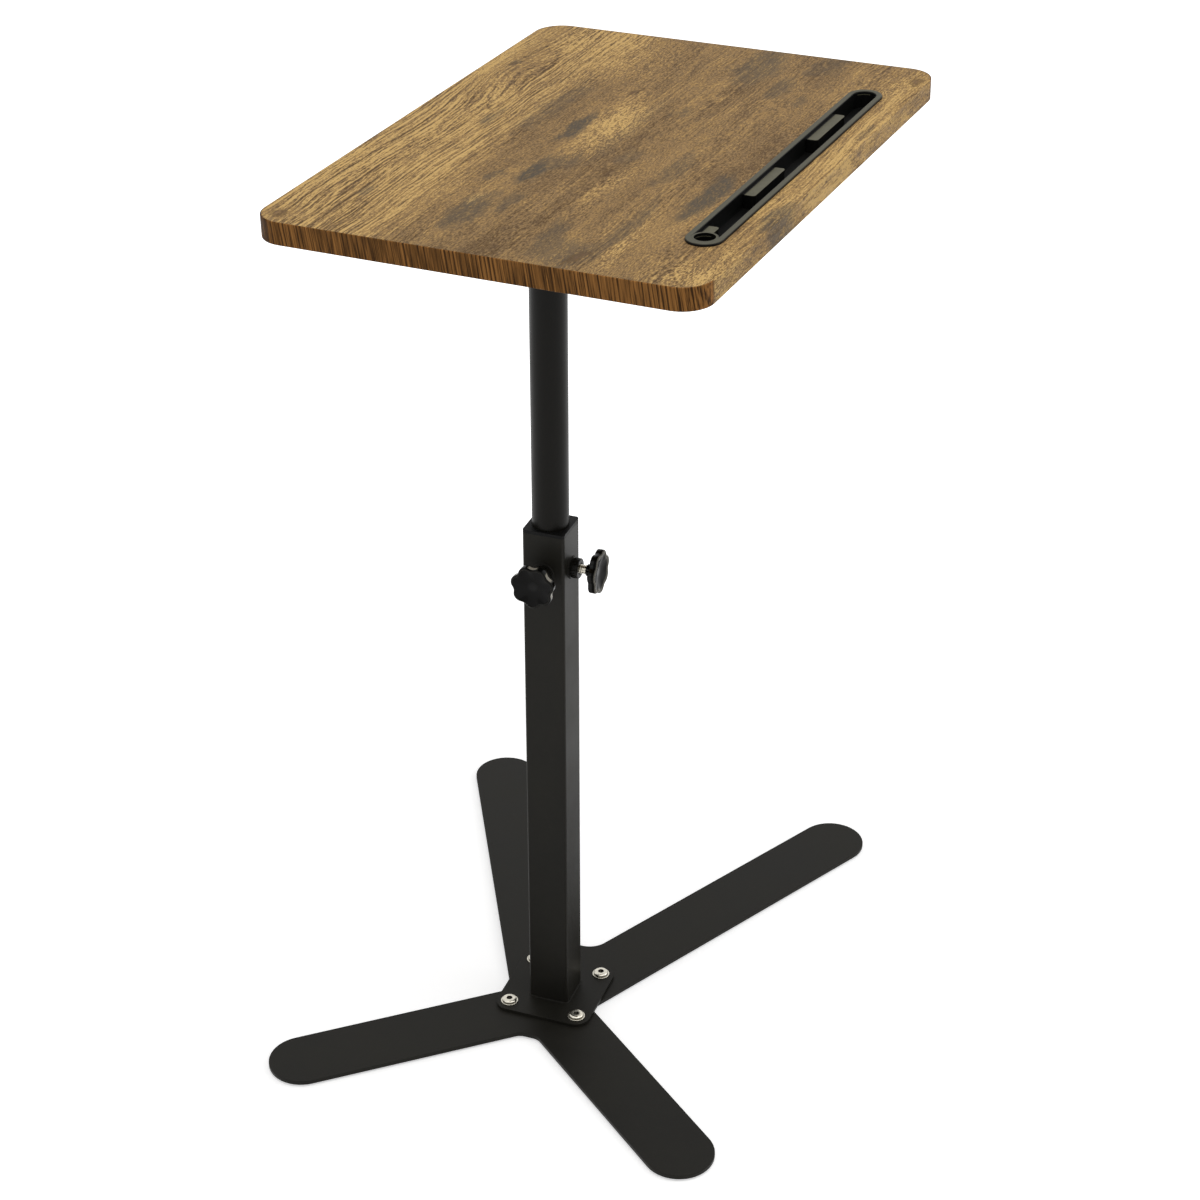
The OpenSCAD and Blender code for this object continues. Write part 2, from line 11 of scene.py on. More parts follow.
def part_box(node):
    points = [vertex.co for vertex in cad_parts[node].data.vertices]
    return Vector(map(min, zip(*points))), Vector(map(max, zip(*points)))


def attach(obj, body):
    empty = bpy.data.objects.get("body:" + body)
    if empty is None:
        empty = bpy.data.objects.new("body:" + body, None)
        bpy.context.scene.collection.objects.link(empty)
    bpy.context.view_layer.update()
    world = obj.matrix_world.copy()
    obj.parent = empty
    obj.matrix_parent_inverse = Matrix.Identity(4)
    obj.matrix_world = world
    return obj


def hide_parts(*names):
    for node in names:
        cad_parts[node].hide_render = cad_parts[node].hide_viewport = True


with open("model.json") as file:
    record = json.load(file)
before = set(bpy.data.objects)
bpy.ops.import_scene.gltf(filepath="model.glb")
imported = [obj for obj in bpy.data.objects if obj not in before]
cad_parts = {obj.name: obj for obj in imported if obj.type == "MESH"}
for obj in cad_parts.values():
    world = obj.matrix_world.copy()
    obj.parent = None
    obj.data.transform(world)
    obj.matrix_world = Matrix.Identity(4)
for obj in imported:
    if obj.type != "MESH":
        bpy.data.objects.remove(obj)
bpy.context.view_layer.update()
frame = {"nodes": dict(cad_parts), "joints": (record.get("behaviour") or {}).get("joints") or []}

bl_info = {
    "name": "Laptop Desk",
    "version": (1, 0, 0),
    "blender": (4, 5, 0),
    "location": "View3D > Sidebar > Laptop Desk",
    "description": "Builds a tilting laptop desk on a clamped mast, piece by piece",
    "category": "Add Mesh",
}

MM = 0.001
AROUND = 96  # points round a turned piece
LOBE_STEPS = 24  # points round one lobe of a knob
THREAD_STEPS = 20  # points round one turn of a thread
SHARP_ANGLE = math.radians(30)  # an edge that turns more than this stays sharp
BEVEL_ANGLE = math.radians(32)  # an edge of the solids that turns more than this is rounded
ROUND = 0.999  # corner of a rounded square, beside half its width, that makes it a circle
MERGE = 2e-6  # distance under which two points of a solid's mesh are one
FLAT_ANGLE = math.radians(0.3)  # triangles that meet at less than this are one flat
FLANGE_SHRINK = 0.968  # the flange's outline, beside its node's
BOARD_RISE = 45 * MM  # from the tilt pivot up to the board's surface
BOARD_THICK = 18 * MM
BRACKET_THICK = 3 * MM
WOOD_SCREWS_Y = 30 * MM  # middle of the six wood screws
CLAMP_GAP = 0.3 * MM  # between a clamp screw's tip and the mast

# Slots that many pieces take their finish from
STEEL = "black_powder_coat"
ZINC = "zinc_steel"

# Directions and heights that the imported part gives
JOINTS = {joint["name"]: joint for joint in frame["joints"]}
CLAMP_AXIS = JOINTS["front_clamp_travel"]["axis"]
SWIVEL = math.atan2(CLAMP_AXIS[1], CLAMP_AXIS[0])
TILT = -math.radians(JOINTS["tilt"]["range_deg"][0])
PIVOT = Vector(JOINTS["tilt"]["pos_m"])
CLAMP_Z = JOINTS["front_clamp_turn"]["pos_m"][2]
LOCK_Z = JOINTS["tilt_lock_turn"]["pos_m"][2]

# Places: the column's own frame, and the level board's frame turned to its tilt
COLUMN = Matrix.Rotation(SWIVEL, 4, "Z")
BOARD = Matrix.Translation(PIVOT) @ Matrix.Rotation(TILT, 4, "X") @ Matrix.Translation(-PIVOT)
ALONG_X = Matrix.Rotation(math.radians(90), 4, "Y")
CLAMP_TURNS = {"front": 0, "side": 90}  # degrees from the column's own x axis


def shift(x, y, z):
    return Matrix.Translation((x, y, z))


def clamp_place(side, out=0.0):
    """A place on a clamp's axis, some way out from the mast's, with z pointing outwards."""
    turn = Matrix.Rotation(math.radians(CLAMP_TURNS[side]), 4, "Z")
    return COLUMN @ turn @ shift(out, 0, CLAMP_Z) @ ALONG_X


# ---- Sizes and colours


def pigment(name, description, value):
    return FloatVectorProperty(
        name=name, description=description, subtype="COLOR", size=3, min=0, max=1, default=value
    )


def measure(name, description, value):
    """A length, given in millimetres."""
    return FloatProperty(
        name=name, description=description, default=value * MM, min=0, unit="LENGTH", precision=4
    )


class DeskSizes(bpy.types.PropertyGroup):
    """Sizes of the desk's small pieces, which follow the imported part"""

    edge_break: measure("Edge break", "Rounding of the steel plates' edges", 0.5)
    web_round: measure("Web rounding", "Rounding of the base's inner corners", 4)
    tube_break: measure("Tube end break", "Rounding of the tubes' cut ends", 0.25)
    bolt_radius: measure("Bolt radius", "Radius of the bolts and clamp screws", 4)
    thread_pitch: measure("Thread pitch", "Travel of a screw in one turn", 1.25)
    thread_depth: measure("Thread depth", "Depth of the screws' threads", 0.45)
    bolt_pitch: measure("Bolt pitch", "Distance between the flange's bolts", 67)
    flange_stack: measure("Flange stack", "Thickness of base plate and flange", 7)
    washer_height: measure("Washer height", "Thickness of the steel washers", 1.2)
    head_radius: measure("Head radius", "Radius of the button heads", 6.8)
    head_height: measure("Head height", "Height of the button heads", 2.56)
    socket_reach: measure("Socket reach", "Half the width of the hex sockets", 2.48)
    column_half: measure("Column half width", "Half the column's outer width", 19)
    boss_radius: measure("Boss radius", "Radius of the threaded clamp bosses", 9)
    boss_length: measure("Boss length", "Length of the threaded clamp bosses", 8)
    boss_ribs: IntProperty(name="Boss ribs", description="Ribs round a boss", default=22, min=3)
    screw_show: measure("Screw show", "Screw between boss and knob", 6)
    knob_radius: measure("Knob radius", "Radius over the knobs' lobes", 19.75)
    knob_lobes: IntProperty(name="Knob lobes", description="Lobes on a knob", default=7, min=3)
    lobe_radius: measure("Lobe radius", "Radius of each lobe", 7)
    valley_radius: measure("Valley radius", "Radius between two lobes", 7)
    knob_neck: measure("Knob neck", "Length of the neck behind the lobes", 6.5)
    knob_head: measure("Knob head", "Thickness of the lobed head", 7)
    wood_screw_pitch: measure("Wood screw pitch", "Distance along the bracket", 83)
    wood_screw_gauge: measure("Wood screw gauge", "Distance across the bracket", 86)
    weld_leg: measure("Weld leg", "Size of the column's weld bead", 1.0)


class DeskColours(bpy.types.PropertyGroup):
    """Colours of the desk's finishes, as linear light"""

    wood_light: pigment("Light wood", "Lightest streaks of the board", (0.6, 0.392, 0.147))
    wood_gold: pigment("Golden wood", "Golden tone of the board", (0.345, 0.211, 0.081))
    wood_mid: pigment("Brown wood", "Middle tone of the board", (0.226, 0.142, 0.065))
    wood_dark: pigment("Dark wood", "Grain lines of the board", (0.1, 0.057, 0.023))
    wood_grey: pigment("Smoky wood", "Smoky patches of the board", (0.083, 0.067, 0.048))
    wood_knot: pigment("Knot", "Hearts of the board's knots", (0.17, 0.1, 0.062))
    band_gold: pigment("Golden band", "Light streaks of the end bands", (0.22, 0.099, 0.0268))
    band_dark: pigment("Dark band", "Dark streaks of the end bands", (0.022, 0.01, 0.004))
    steel_black: pigment("Black steel", "Powder coat of the steel", (0.0118, 0.011, 0.0085))
    mast_black: pigment("Mast black", "Paint of the round mast", (0.0062, 0.0057, 0.0045))
    knob_black: pigment("Knob black", "Plastic of the star knobs", (0.0035, 0.0033, 0.0028))
    tray_black: pigment("Tray black", "Plastic inside the tray", (0.005, 0.005, 0.0047))
    # Painted light: the colour that the tray's lit flat tops are given
    tray_olive: pigment("Tray olive", "Plastic on the tray's lit tops", (0.088, 0.082, 0.05))
    bush_black: pigment("Bush black", "Nylon of the column's bush", (0.004, 0.004, 0.004))
    rubber: pigment("Rubber", "Rubber of the feet", (0.012, 0.012, 0.012))
    zinc: pigment("Zinc", "Plating of the screws and bolts", (0.72, 0.685, 0.59))
    nylon: pigment("Nylon", "White nylon of the guide block", (0.72, 0.7, 0.63))
    floor: pigment("Floor", "Pale studio floor", (0.86, 0.86, 0.86))


# ---- Node trees


class Nodes:
    """A node tree, and the short calls that build it."""

    def __init__(self, tree):
        self.tree = tree

    def add(self, kind, inputs=None, **settings):
        node = self.tree.nodes.new(kind)
        for name, value in settings.items():
            setattr(node, name, value)
        for key, value in (inputs or {}).items():
            self.feed(node.inputs[key], value)
        return node

    def out(self, kind, inputs=None, **settings):
        """The first output of a new node."""
        return self.add(kind, inputs, **settings).outputs[0]

    def feed(self, socket, value):
        if isinstance(value, bpy.types.NodeSocket):
            self.tree.links.new(value, socket)
        elif socket.type == "RGBA" and len(value) == 3:
            socket.default_value = (*value, 1)
        else:
            socket.default_value = value

    def maths(self, operation, first, second=0.0):
        return self.out("ShaderNodeMath", {0: first, 1: second}, operation=operation)

    def chain(self, operation, *parts):
        """One value from several parts, taken in one after another."""
        result, *rest = parts
        for part in rest:
            result = self.maths(operation, result, part)
        return result

    plus = partialmethod(chain, "ADD")
    minus = partialmethod(chain, "SUBTRACT")
    times = partialmethod(chain, "MULTIPLY")
    most = partialmethod(chain, "MAXIMUM")

    def backdrop_rays(self):
        """1 for the rays that see a white studio: the camera's, and those of gloss and glass."""
        path = self.add("ShaderNodeLightPath").outputs
        kinds = ("Camera", "Glossy", "Transmission")
        return self.most(*(path[f"Is {kind} Ray"] for kind in kinds))


class Finish(Nodes):
    """A material, with its shader and the place on the object that its patterns follow."""

    def __init__(self, name):
        self.material = bpy.data.materials.new(name)
        self.material.use_nodes = True
        super().__init__(self.material.node_tree)
        self.shader = self.tree.nodes["Principled BSDF"]
        self.place = self.add("ShaderNodeTexCoord").outputs["Object"]

    def finished(self, **values):
        """Sets the shader's sockets, and gives the material."""
        for name, value in values.items():
            self.feed(self.shader.inputs[name.replace("_", " ")], value)
        return self.material

    def noise(self, scale, detail, roughness=0.5, place=None):
        """Noise about 0.5; a scale of three numbers stretches it."""
        vector = place or self.place
        if isinstance(scale, tuple):
            vector = self.out("ShaderNodeMapping", {"Vector": vector, "Scale": scale})
            scale = 1
        inputs = {"Vector": vector, "Scale": scale, "Detail": detail, "Roughness": roughness}
        return self.out("ShaderNodeTexNoise", inputs)

    def remap(self, value, low, high, to_low=0.0, to_high=1.0):
        inputs = {
            "Value": value, "From Min": low, "From Max": high, "To Min": to_low, "To Max": to_high,
        }
        return self.out("ShaderNodeMapRange", inputs, interpolation_type="SMOOTHSTEP")

    def within(self, value, low, high, rise, fall):
        """1 between low and high, where it rises and falls over two widths inside them."""
        return self.times(self.remap(value, low, low + rise), self.remap(value, high, high - fall))

    def mix(self, factor, first, second):
        inputs = {0: factor, 6: first, 7: second}
        return self.add("ShaderNodeMix", inputs, data_type="RGBA").outputs[2]

    def shades(self, value, low, high, colour, first, second):
        """A colour at one strength where a value is low, and at another where it is high."""
        return self.mix(self.remap(value, low, high), tinted(colour, first), tinted(colour, second))

    def bump(self, height, distance, strength):
        inputs = {"Height": height, "Distance": distance, "Strength": strength}
        return self.out("ShaderNodeBump", inputs)

    def split(self, place=None):
        return self.add("ShaderNodeSeparateXYZ", {0: place or self.place}).outputs

    def join(self, x, y, z):
        return self.out("ShaderNodeCombineXYZ", {0: x, 1: y, 2: z})

    def far(self, vector):
        return self.add("ShaderNodeVectorMath", {0: vector}, operation="LENGTH").outputs["Value"]

    def spot(self, place, x, y, reach_x, reach_y, soft, turn=0.0):
        """1 inside an upright oval post, in millimetres and degrees, and 0 past its soft edge."""
        inputs = {
            "Vector": place, "Location": (x * MM, y * MM, 0),
            "Rotation": (0, 0, math.radians(turn)),
            "Scale": (reach_x * MM, reach_y * MM, POST_HEIGHT),
        }
        local = self.out("ShaderNodeMapping", inputs, vector_type="TEXTURE")
        return self.remap(self.far(local), *soft)

    def along_clamps(self):
        """x and y along the front and the side clamp, and z."""
        inputs = {"Vector": self.place, "Rotation": (0, 0, -SWIVEL)}
        return self.split(self.out("ShaderNodeMapping", inputs))


class PieceTree(Nodes):
    """A Geometry Nodes tree that is given a piece, sizes and a material."""

    def __init__(self, name, **sizes):
        super().__init__(bpy.data.node_groups.new(name, "GeometryNodeTree"))
        interface = self.tree.interface
        for label, kind in dict(Geometry="Geometry", **sizes, Material="Material").items():
            interface.new_socket(label, in_out="INPUT", socket_type="NodeSocket" + kind)
        interface.new_socket("Geometry", in_out="OUTPUT", socket_type="NodeSocketGeometry")
        self.given = self.add("NodeGroupInput").outputs

    def feed(self, socket, value):
        """As in any tree, but a name stands for one of the things that the tree is given."""
        super().feed(socket, self.given[value] if isinstance(value, str) else value)

    def close(self, geometry):
        """Realizes the instances, sets the material and ends the tree."""
        real = self.out("GeometryNodeRealizeInstances", {0: geometry})
        inputs = {"Geometry": real, "Material": "Material"}
        self.add("NodeGroupOutput", {0: self.out("GeometryNodeSetMaterial", inputs)})
        return self.tree


@cache
def grid_tree():
    """Repeats the piece that it is given over a level grid of points."""
    build = PieceTree("repeat_on_grid", Width="Float", Depth="Float", Columns="Int", Rows="Int")
    grid = build.out("GeometryNodeMeshGrid", {
        "Size X": "Width", "Size Y": "Depth", "Vertices X": "Columns", "Vertices Y": "Rows",
    })
    inputs = {"Points": grid, "Instance": "Geometry"}
    return build.close(build.out("GeometryNodeInstanceOnPoints", inputs))


@cache
def path_tree():
    """Repeats the piece that it is given along a rounded square, turned to its run."""
    build = PieceTree("repeat_on_rounded_square", Width="Float", Corner="Float", Count="Int")
    inputs = {"Width": "Width", "Height": "Width"}
    square = build.out("GeometryNodeCurvePrimitiveQuadrilateral", inputs)
    inputs = {"Curve": square, "Radius": "Corner", "Count": 16}
    path = build.out("GeometryNodeFilletCurve", inputs, mode="POLY")
    inputs = {"Curve": path, "Count": "Count"}
    even = build.out("GeometryNodeResampleCurve", inputs, mode="COUNT")
    run = {"Vector": build.out("GeometryNodeInputTangent")}
    turn = build.out("FunctionNodeAlignEulerToVector", run, axis="X")
    inputs = {"Points": even, "Instance": "Geometry", "Rotation": turn}
    return build.close(build.out("GeometryNodeInstanceOnPoints", inputs))


@cache
def thread_tree():
    """Winds a thread round the plain core that it is given."""
    build = PieceTree(
        "wound_thread", Radius="Float", Depth="Float", Length="Float", Turns="Float",
        Start="Vector", Steps="Int",
    )
    winding = build.out("GeometryNodeCurveSpiral", {
        "Resolution": "Steps", "Rotations": "Turns", "Height": "Length",
        "Start Radius": "Radius", "End Radius": "Radius",
    })
    inputs = {"Resolution": 6, "Radius": "Depth"}
    ridge = build.out("GeometryNodeCurvePrimitiveCircle", inputs)
    inputs = {"Curve": winding, "Profile Curve": ridge, "Fill Caps": True}
    thread = build.out("GeometryNodeCurveToMesh", inputs)
    inputs = {"Geometry": thread, "Translation": "Start"}
    moved = build.out("GeometryNodeTransform", inputs)
    both = build.add("GeometryNodeJoinGeometry", {0: "Geometry"})
    build.feed(both.inputs[0], moved)
    return build.close(both.outputs[0])


# ---- Finishes


POST_HEIGHT = 1000  # half the height of a spot's post, so that height doesn't count

SOCKET_SHADE = (3.0 * MM, 2.5 * MM)  # radii where the painted shade in a bolt's socket begins, and where it is full
GAP_SHADE_RADIUS = 6.9 * MM  # radius of the painted shade line in the gap between a bolt's head and its washer

# The tray's tops that are painted as lit, in heights above the board, and the strip of y that its
# ledges lie in
RIM_TOP = (1.7 * MM, 1.93 * MM)
LEDGE_TOP = (-1.0 * MM, -0.3 * MM)
LEDGE_STRIP = (195.9 * MM, 205.9 * MM)

WOOD_SPECULAR = 0.05
LINE_PITCH = 4.1 * MM  # between two of the board's grain lines
ARCH_PITCH = 15 * MM  # between two arches of the figure near the user's corner
END_X = 250  # millimetres from the middle to the board's ends

# Places on the board, in millimetres: middle x and y, then reach in x and y
ARCHED = (-125, -97, 105, 36)
CALM_FAR = (-226, -104, 30, 26)
CALM_NEAR = (229, -106, 18, 13)

# Smoky patches of the board, each with its strength
SMOKY = [
    (86, 174, 60, 11, 0.9), (-16, 17, 36, 9, 0.9), (87, 32, 30, 12, 0.95), (175, 24, 44, 15, 0.7),
    (103, 8, 15, 5, 0.6), (103, 232, 32, 7, 0.7), (-12, -57, 20, 6, 0.6), (-140, -85, 13, 4, 0.6),
    (-162, 134, 34, 10, 0.5), (-209, 96, 52, 22, 0.62), (31, 80, 20, 8, 0.4),
    (-78, 84, 12, 9, 0.45), (187, 96, 30, 10, 0.6), (40, 128, 40, 12, 0.45),
    (160, 142, 66, 8, 0.45), (225, 118, 30, 30, 0.5), (-60, -20, 70, 14, 0.4),
    (-230, 150, 30, 16, 0.4), (168, -66, 16, 6, 0.5), (60, 40, 22, 16, 0.45), (150, 44, 26, 6, 0.5),
    (-135, 160, 18, 7, 0.45), (-90, 236, 18, 6, 0.4), (-20, 60, 80, 10, 0.25),
]

# Golden patches of the board, each with its strength
GOLDEN = [
    (-31, 46, 80, 22, 0.85), (215, 232, 60, 14, 0.5), (228, 212, 34, 24, 0.55),
    (-190, -20, 70, 60, 0.32), (-225, -70, 50, 22, 0.5), (-150, -110, 70, 14, 0.6),
    (130, -110, 90, 22, 0.42), (60, -85, 120, 20, 0.28), (146, 20, 12, 6, 0.6),
    (200, 155, 60, 10, 0.45), (-120, 100, 16, 8, 0.35), (100, 92, 60, 12, 0.4),
    (-60, -76, 60, 9, 0.4), (-200, 222, 40, 12, 0.45),
]

# Small knots of the board, each with its turn in degrees
KNOTS = [
    (-109, 26, 5.76, 3.96, -20), (53, -49, 3.6, 3.24, 0), (189, -65, 2.88, 5.76, 25),
    (230, -107, 7.56, 6.48, 0), (-214, 232, 6.48, 4.32, 0), (-53, 234, 3.6, 2.88, 0),
    (-38, -69, 2.88, 2.88, 0), (211, -64, 2.88, 2.16, 0), (227, 134, 6.48, 5.76, 0),
    (-136, -85, 4.32, 2.88, 0),
]

# Painted light and shade along the end bands, as lighter and darker stretches, in millimetres:
# middle y, reach in y, gain
BAND_PAINTED_LIGHT = [
    (-112, 12, -0.14), (-75, 30, 0.12), (-19, 10, -0.06), (82, 25, 0.1), (165, 30, 0.13),
    (225, 60, 0.24), (235, 20, 0.06),
]


def tinted(colour, factor):
    return tuple(min(1.0, part * factor) for part in colour)


def coated_steel(name, colour, roughness=0.46, specular=0.13):
    """Satin powder coat: fine orange peel, faint mottling and lighter dust."""
    coat = Finish(name)
    mottle = coat.noise(9, 5, 0.6)
    tone = coat.shades(mottle, 0.3, 0.75, colour, 0.8, 1.35)
    dust = coat.remap(coat.noise(2600, 1), 0.62, 0.78, 0, 0.35)
    return coat.finished(
        Base_Color=coat.mix(dust, tone, tinted(colour, 3.2)),
        Roughness=coat.remap(mottle, 0.25, 0.8, roughness - 0.05, roughness + 0.09),
        Specular_IOR_Level=specular,
        Normal=coat.bump(coat.noise(900, 2), 0.12 * MM, 0.55),
    )


def plated_zinc(name, colour, pitch=0.0):
    """Bright zinc with small dull spots; with a pitch, painted shade in the sockets of four bolt
    heads and in the gap round each head.
    """
    zinc = Finish(name)
    cloud = zinc.noise(420, 3)
    plating = zinc.shades(cloud, 0.35, 0.8, colour, 1, 0.72)
    if pitch:
        # Painted shade: the sockets, and the gap between each head and its washer, are darkened
        x, y, _ = zinc.along_clamps()
        off_x, off_y = (zinc.minus(zinc.maths("ABSOLUTE", part), pitch / 2) for part in (x, y))
        far = zinc.far(zinc.join(off_x, off_y, 0.0))
        groove = zinc.maths("ABSOLUTE", zinc.minus(far, GAP_SHADE_RADIUS))
        line = zinc.remap(groove, 0.5 * MM, 0.2 * MM, 0, 0.85)
        dark = zinc.most(line, zinc.remap(far, *SOCKET_SHADE))
        plating = zinc.mix(dark, plating, tinted(colour, 0.09))
    return zinc.finished(
        Base_Color=plating,
        Metallic=1.0,
        Roughness=zinc.remap(cloud, 0.3, 0.8, 0.16, 0.34),
        Normal=zinc.bump(zinc.noise((300, 2600, 2600), 3, 0.6), 0.05 * MM, 0.5),
    )


def moulded_plastic(name, colour, roughness, specular=0.5, sheen=None):
    """Moulded plastic: a fine skin with slow changes of gloss, and with painted glints, rims
    painted brighter as highlights.
    """
    skin = Finish(name)
    cloud = skin.noise(60, 4, 0.6)
    tone = skin.shades(cloud, 0.3, 0.75, colour, 0.85, 1.25)
    if sheen:
        painted_glint, face = sheen(skin)
        # Painted highlight: the knobs' rims and valleys are lightened to stand for glints
        tone = skin.mix(painted_glint, tone, tinted(colour, 110))
        specular = skin.remap(face, 0, 1, specular, specular * 0.2)
    return skin.finished(
        Base_Color=tone,
        Roughness=skin.remap(cloud, 0.3, 0.8, roughness * 0.85, roughness * 1.25),
        Specular_IOR_Level=specular,
        Normal=skin.bump(skin.noise(700, 2), 0.05 * MM, 0.5),
    )


def knob_painted_glints(skin):
    """Where the clamp knobs get painted highlights, at rims and valleys, and where their dished
    faces are dull.
    """
    sizes = bpy.context.scene.desk_sizes
    x, y, z = skin.along_clamps()
    back = sizes.column_half + sizes.boss_length + sizes.screw_show + sizes.knob_neck
    face = back + sizes.knob_head
    deep = sizes.knob_radius - 0.6 * MM
    side_rim = skin.remap(y, face - 1.1 * MM, face - 0.5 * MM, 0, 0.36)
    front_rim = skin.remap(x, face - 0.3 * MM, face - 0.1 * MM, 0, 0.035)
    far = skin.far(skin.join(0.0, y, skin.minus(z, CLAMP_Z)))
    valley = skin.times(
        skin.within(x, back + 1 * MM, face - 1.4 * MM, 1 * MM, 0.8 * MM),
        skin.within(far, deep - 2.6 * MM, deep, 0.4 * MM, 0.9 * MM),
    )
    dish = (face - 3.6 * MM, face - 2.8 * MM)
    dull = skin.most(skin.remap(y, *dish), skin.remap(x, *dish, 0, 0.55))
    return skin.most(side_rim, front_rim, valley), dull


def tray_moulding(name, colours):
    """Black plastic with painted light on its flat tops: rim, ring and ledges are coloured lighter
    where the light would catch them.
    """
    skin = Finish(name)
    sheen_colour = colours.tray_olive
    _, y, z = skin.split()
    slope = skin.times(skin.minus(y, PIVOT.y), math.tan(TILT))
    above = skin.minus(z, slope, PIVOT.z + BOARD_RISE)
    rim = skin.remap(above, *RIM_TOP)
    ledge = skin.times(
        skin.within(above, *LEDGE_TOP, 0.15 * MM, 0.15 * MM),
        skin.within(y, *LEDGE_STRIP, 0.5 * MM, 0.5 * MM),
    )
    # Painted light: the lit tops of rim, ring and ledges get a lighter olive, the rim's a little
    # darker
    lit = skin.most(rim, ledge)
    tops = skin.shades(skin.noise(90, 4, 0.6), 0.3, 0.75, sheen_colour, 0.85, 1.12)
    tops = skin.mix(rim, tops, tinted(sheen_colour, 0.7))
    return skin.finished(
        Base_Color=skin.mix(lit, colours.tray_black, tops),
        Roughness=skin.remap(lit, 0, 1, 0.32, 0.5),
        Specular_IOR_Level=skin.remap(lit, 0, 1, 0.1, 0.2),
        Normal=skin.bump(skin.noise(1500, 2), 0.04 * MM, 0.5),
    )


def wood_print(wood, colours):
    """The board's printed face: its colour, its relief and its mottling, and x, y and z."""
    plus, minus, times, remap, spot = wood.plus, wood.minus, wood.times, wood.remap, wood.spot
    x, y, z = wood.split()

    def drift(scale, detail, size, place=None):
        """Noise about 0, of a size, for bending places and for changing tones."""
        return times(minus(wood.noise(scale, detail, 0.6, place), 0.5), size)

    arched = spot(wood.place, *ARCHED, soft=(1.2, 0.0))
    y_bent = plus(y, drift((6, 12, 3), 2, 20 * MM), times(arched, 13 * MM))
    bent = wood.join(x, y_bent, z)
    x_ragged = plus(x, drift((30, 90, 3), 4, 60 * MM))
    y_ragged = plus(y_bent, drift((22, 60, 5), 4, 22 * MM))
    ragged = wood.join(x_ragged, y_ragged, z)

    broad = drift((5, 20, 20), 4, 1.0, bent)
    clouds = drift((24, 85, 85), 4, 1.0, bent)
    mottle = drift((75, 300, 300), 5, 1.0, bent)
    specks = drift((300, 850, 850), 2, 1.0, bent)
    rows = drift((7, 470, 300), 3, 1.0, bent)
    fibres = drift((60, 900, 900), 3, 1.0, bent)
    pores = wood.noise((150, 850, 850), 3, 0.6, bent)
    speckle = plus(mottle, specks)

    # Golden towards the two long edges, brown in the middle
    user_side = remap(y_bent, 5 * MM, -55 * MM)
    rear_side = remap(y_bent, 200 * MM, 232 * MM)
    edges = wood.most(user_side, rear_side)
    tone = plus(
        0.37, times(edges, 0.26), times(broad, 1.05), times(clouds, 0.45), times(mottle, 0.45),
        times(specks, 1.75),
    )
    for *oval, gain in GOLDEN:
        patch = spot(ragged, *oval, soft=(1.3, 0.2))
        tone = plus(tone, times(patch, remap(speckle, -0.14, 0.14, gain * 0.12, gain * 0.75)))

    # Grain lines: crisp on the user's side and in a few bands, faint in between
    phase = plus(times(y_bent, 2 * math.pi / LINE_PITCH), drift((8, 45, 5), 3, 26))
    lines = plus(times(rows, 2.7), times(wood.maths("SINE", phase), 0.24), times(fibres, 2.4))
    bands = remap(drift((3.5, 30, 3), 3, 1.0, bent), -0.04, 0.12, 0.2, 0.75)
    strength = plus(times(user_side, 0.82), times(rear_side, 0.3), times(bands, 0.5))
    calm_far = spot(ragged, *CALM_FAR, soft=(1.3, 0.3))
    calm_near = spot(ragged, *CALM_NEAR, soft=(1.3, 0.5))
    calm = remap(wood.most(calm_far, arched, calm_near), 0.1, 0.8, 1.0, 0.4)
    tone = plus(tone, times(lines, times(strength, calm)))

    # Arches near the user's corner, pores, and the darker edge of the far end
    wave = wood.maths("SINE", times(y_bent, 2 * math.pi / ARCH_PITCH))
    arches = times(
        remap(wave, 0.6, 1.0), remap(arched, 0.0, 0.35), remap(mottle, -0.1, 0.1, 0.2, 0.0)
    )
    pits = times(remap(pores, 0.6, 0.68), plus(0.28, times(edges, 0.3)))
    tone = minus(tone, arches, pits, remap(x, -248.6 * MM, -249.3 * MM, 0, 0.5))

    ramp = wood.add("ShaderNodeValToRGB", {0: tone})
    stops = ramp.color_ramp.elements
    for brown_stop in (0.32, 0.62):
        stops.new(brown_stop)
    tones = (colours.wood_dark, colours.wood_mid, colours.wood_gold, colours.wood_light)
    for stop, stop_colour in zip(stops, tones):
        stop.color = (*stop_colour, 1)
    colour = ramp.outputs[0]
    for *oval, gain in SMOKY:
        patch = spot(ragged, *oval, soft=(1.2, 0.5))
        smoke = times(patch, remap(speckle, -0.05, 0.26, gain, gain * 0.6))
        colour = wood.mix(smoke, colour, colours.wood_grey)
    for *oval, turn in KNOTS:
        rim = spot(ragged, *oval, soft=(1.25, 0.85), turn=turn)
        heart = spot(ragged, *oval, soft=(0.8, 0.2), turn=turn)
        colour = wood.mix(times(rim, 0.55), colour, tinted(colours.wood_dark, 0.9))
        colour = wood.mix(times(heart, 0.45), colour, colours.wood_knot)
    relief = plus(0.5, times(lines, 0.4), times(pores, 0.6))
    return colour, relief, plus(mottle, 0.5), (x, y, z)


def board_wood(name, colours):
    wood = Finish(name)
    colour, relief, mottle, _ = wood_print(wood, colours)
    return wood.finished(
        Base_Color=colour,
        Roughness=wood.remap(mottle, 0.3, 0.75, 0.5, 0.62),
        Specular_IOR_Level=WOOD_SPECULAR,
        Normal=wood.bump(relief, 0.14 * MM, 0.4),
    )


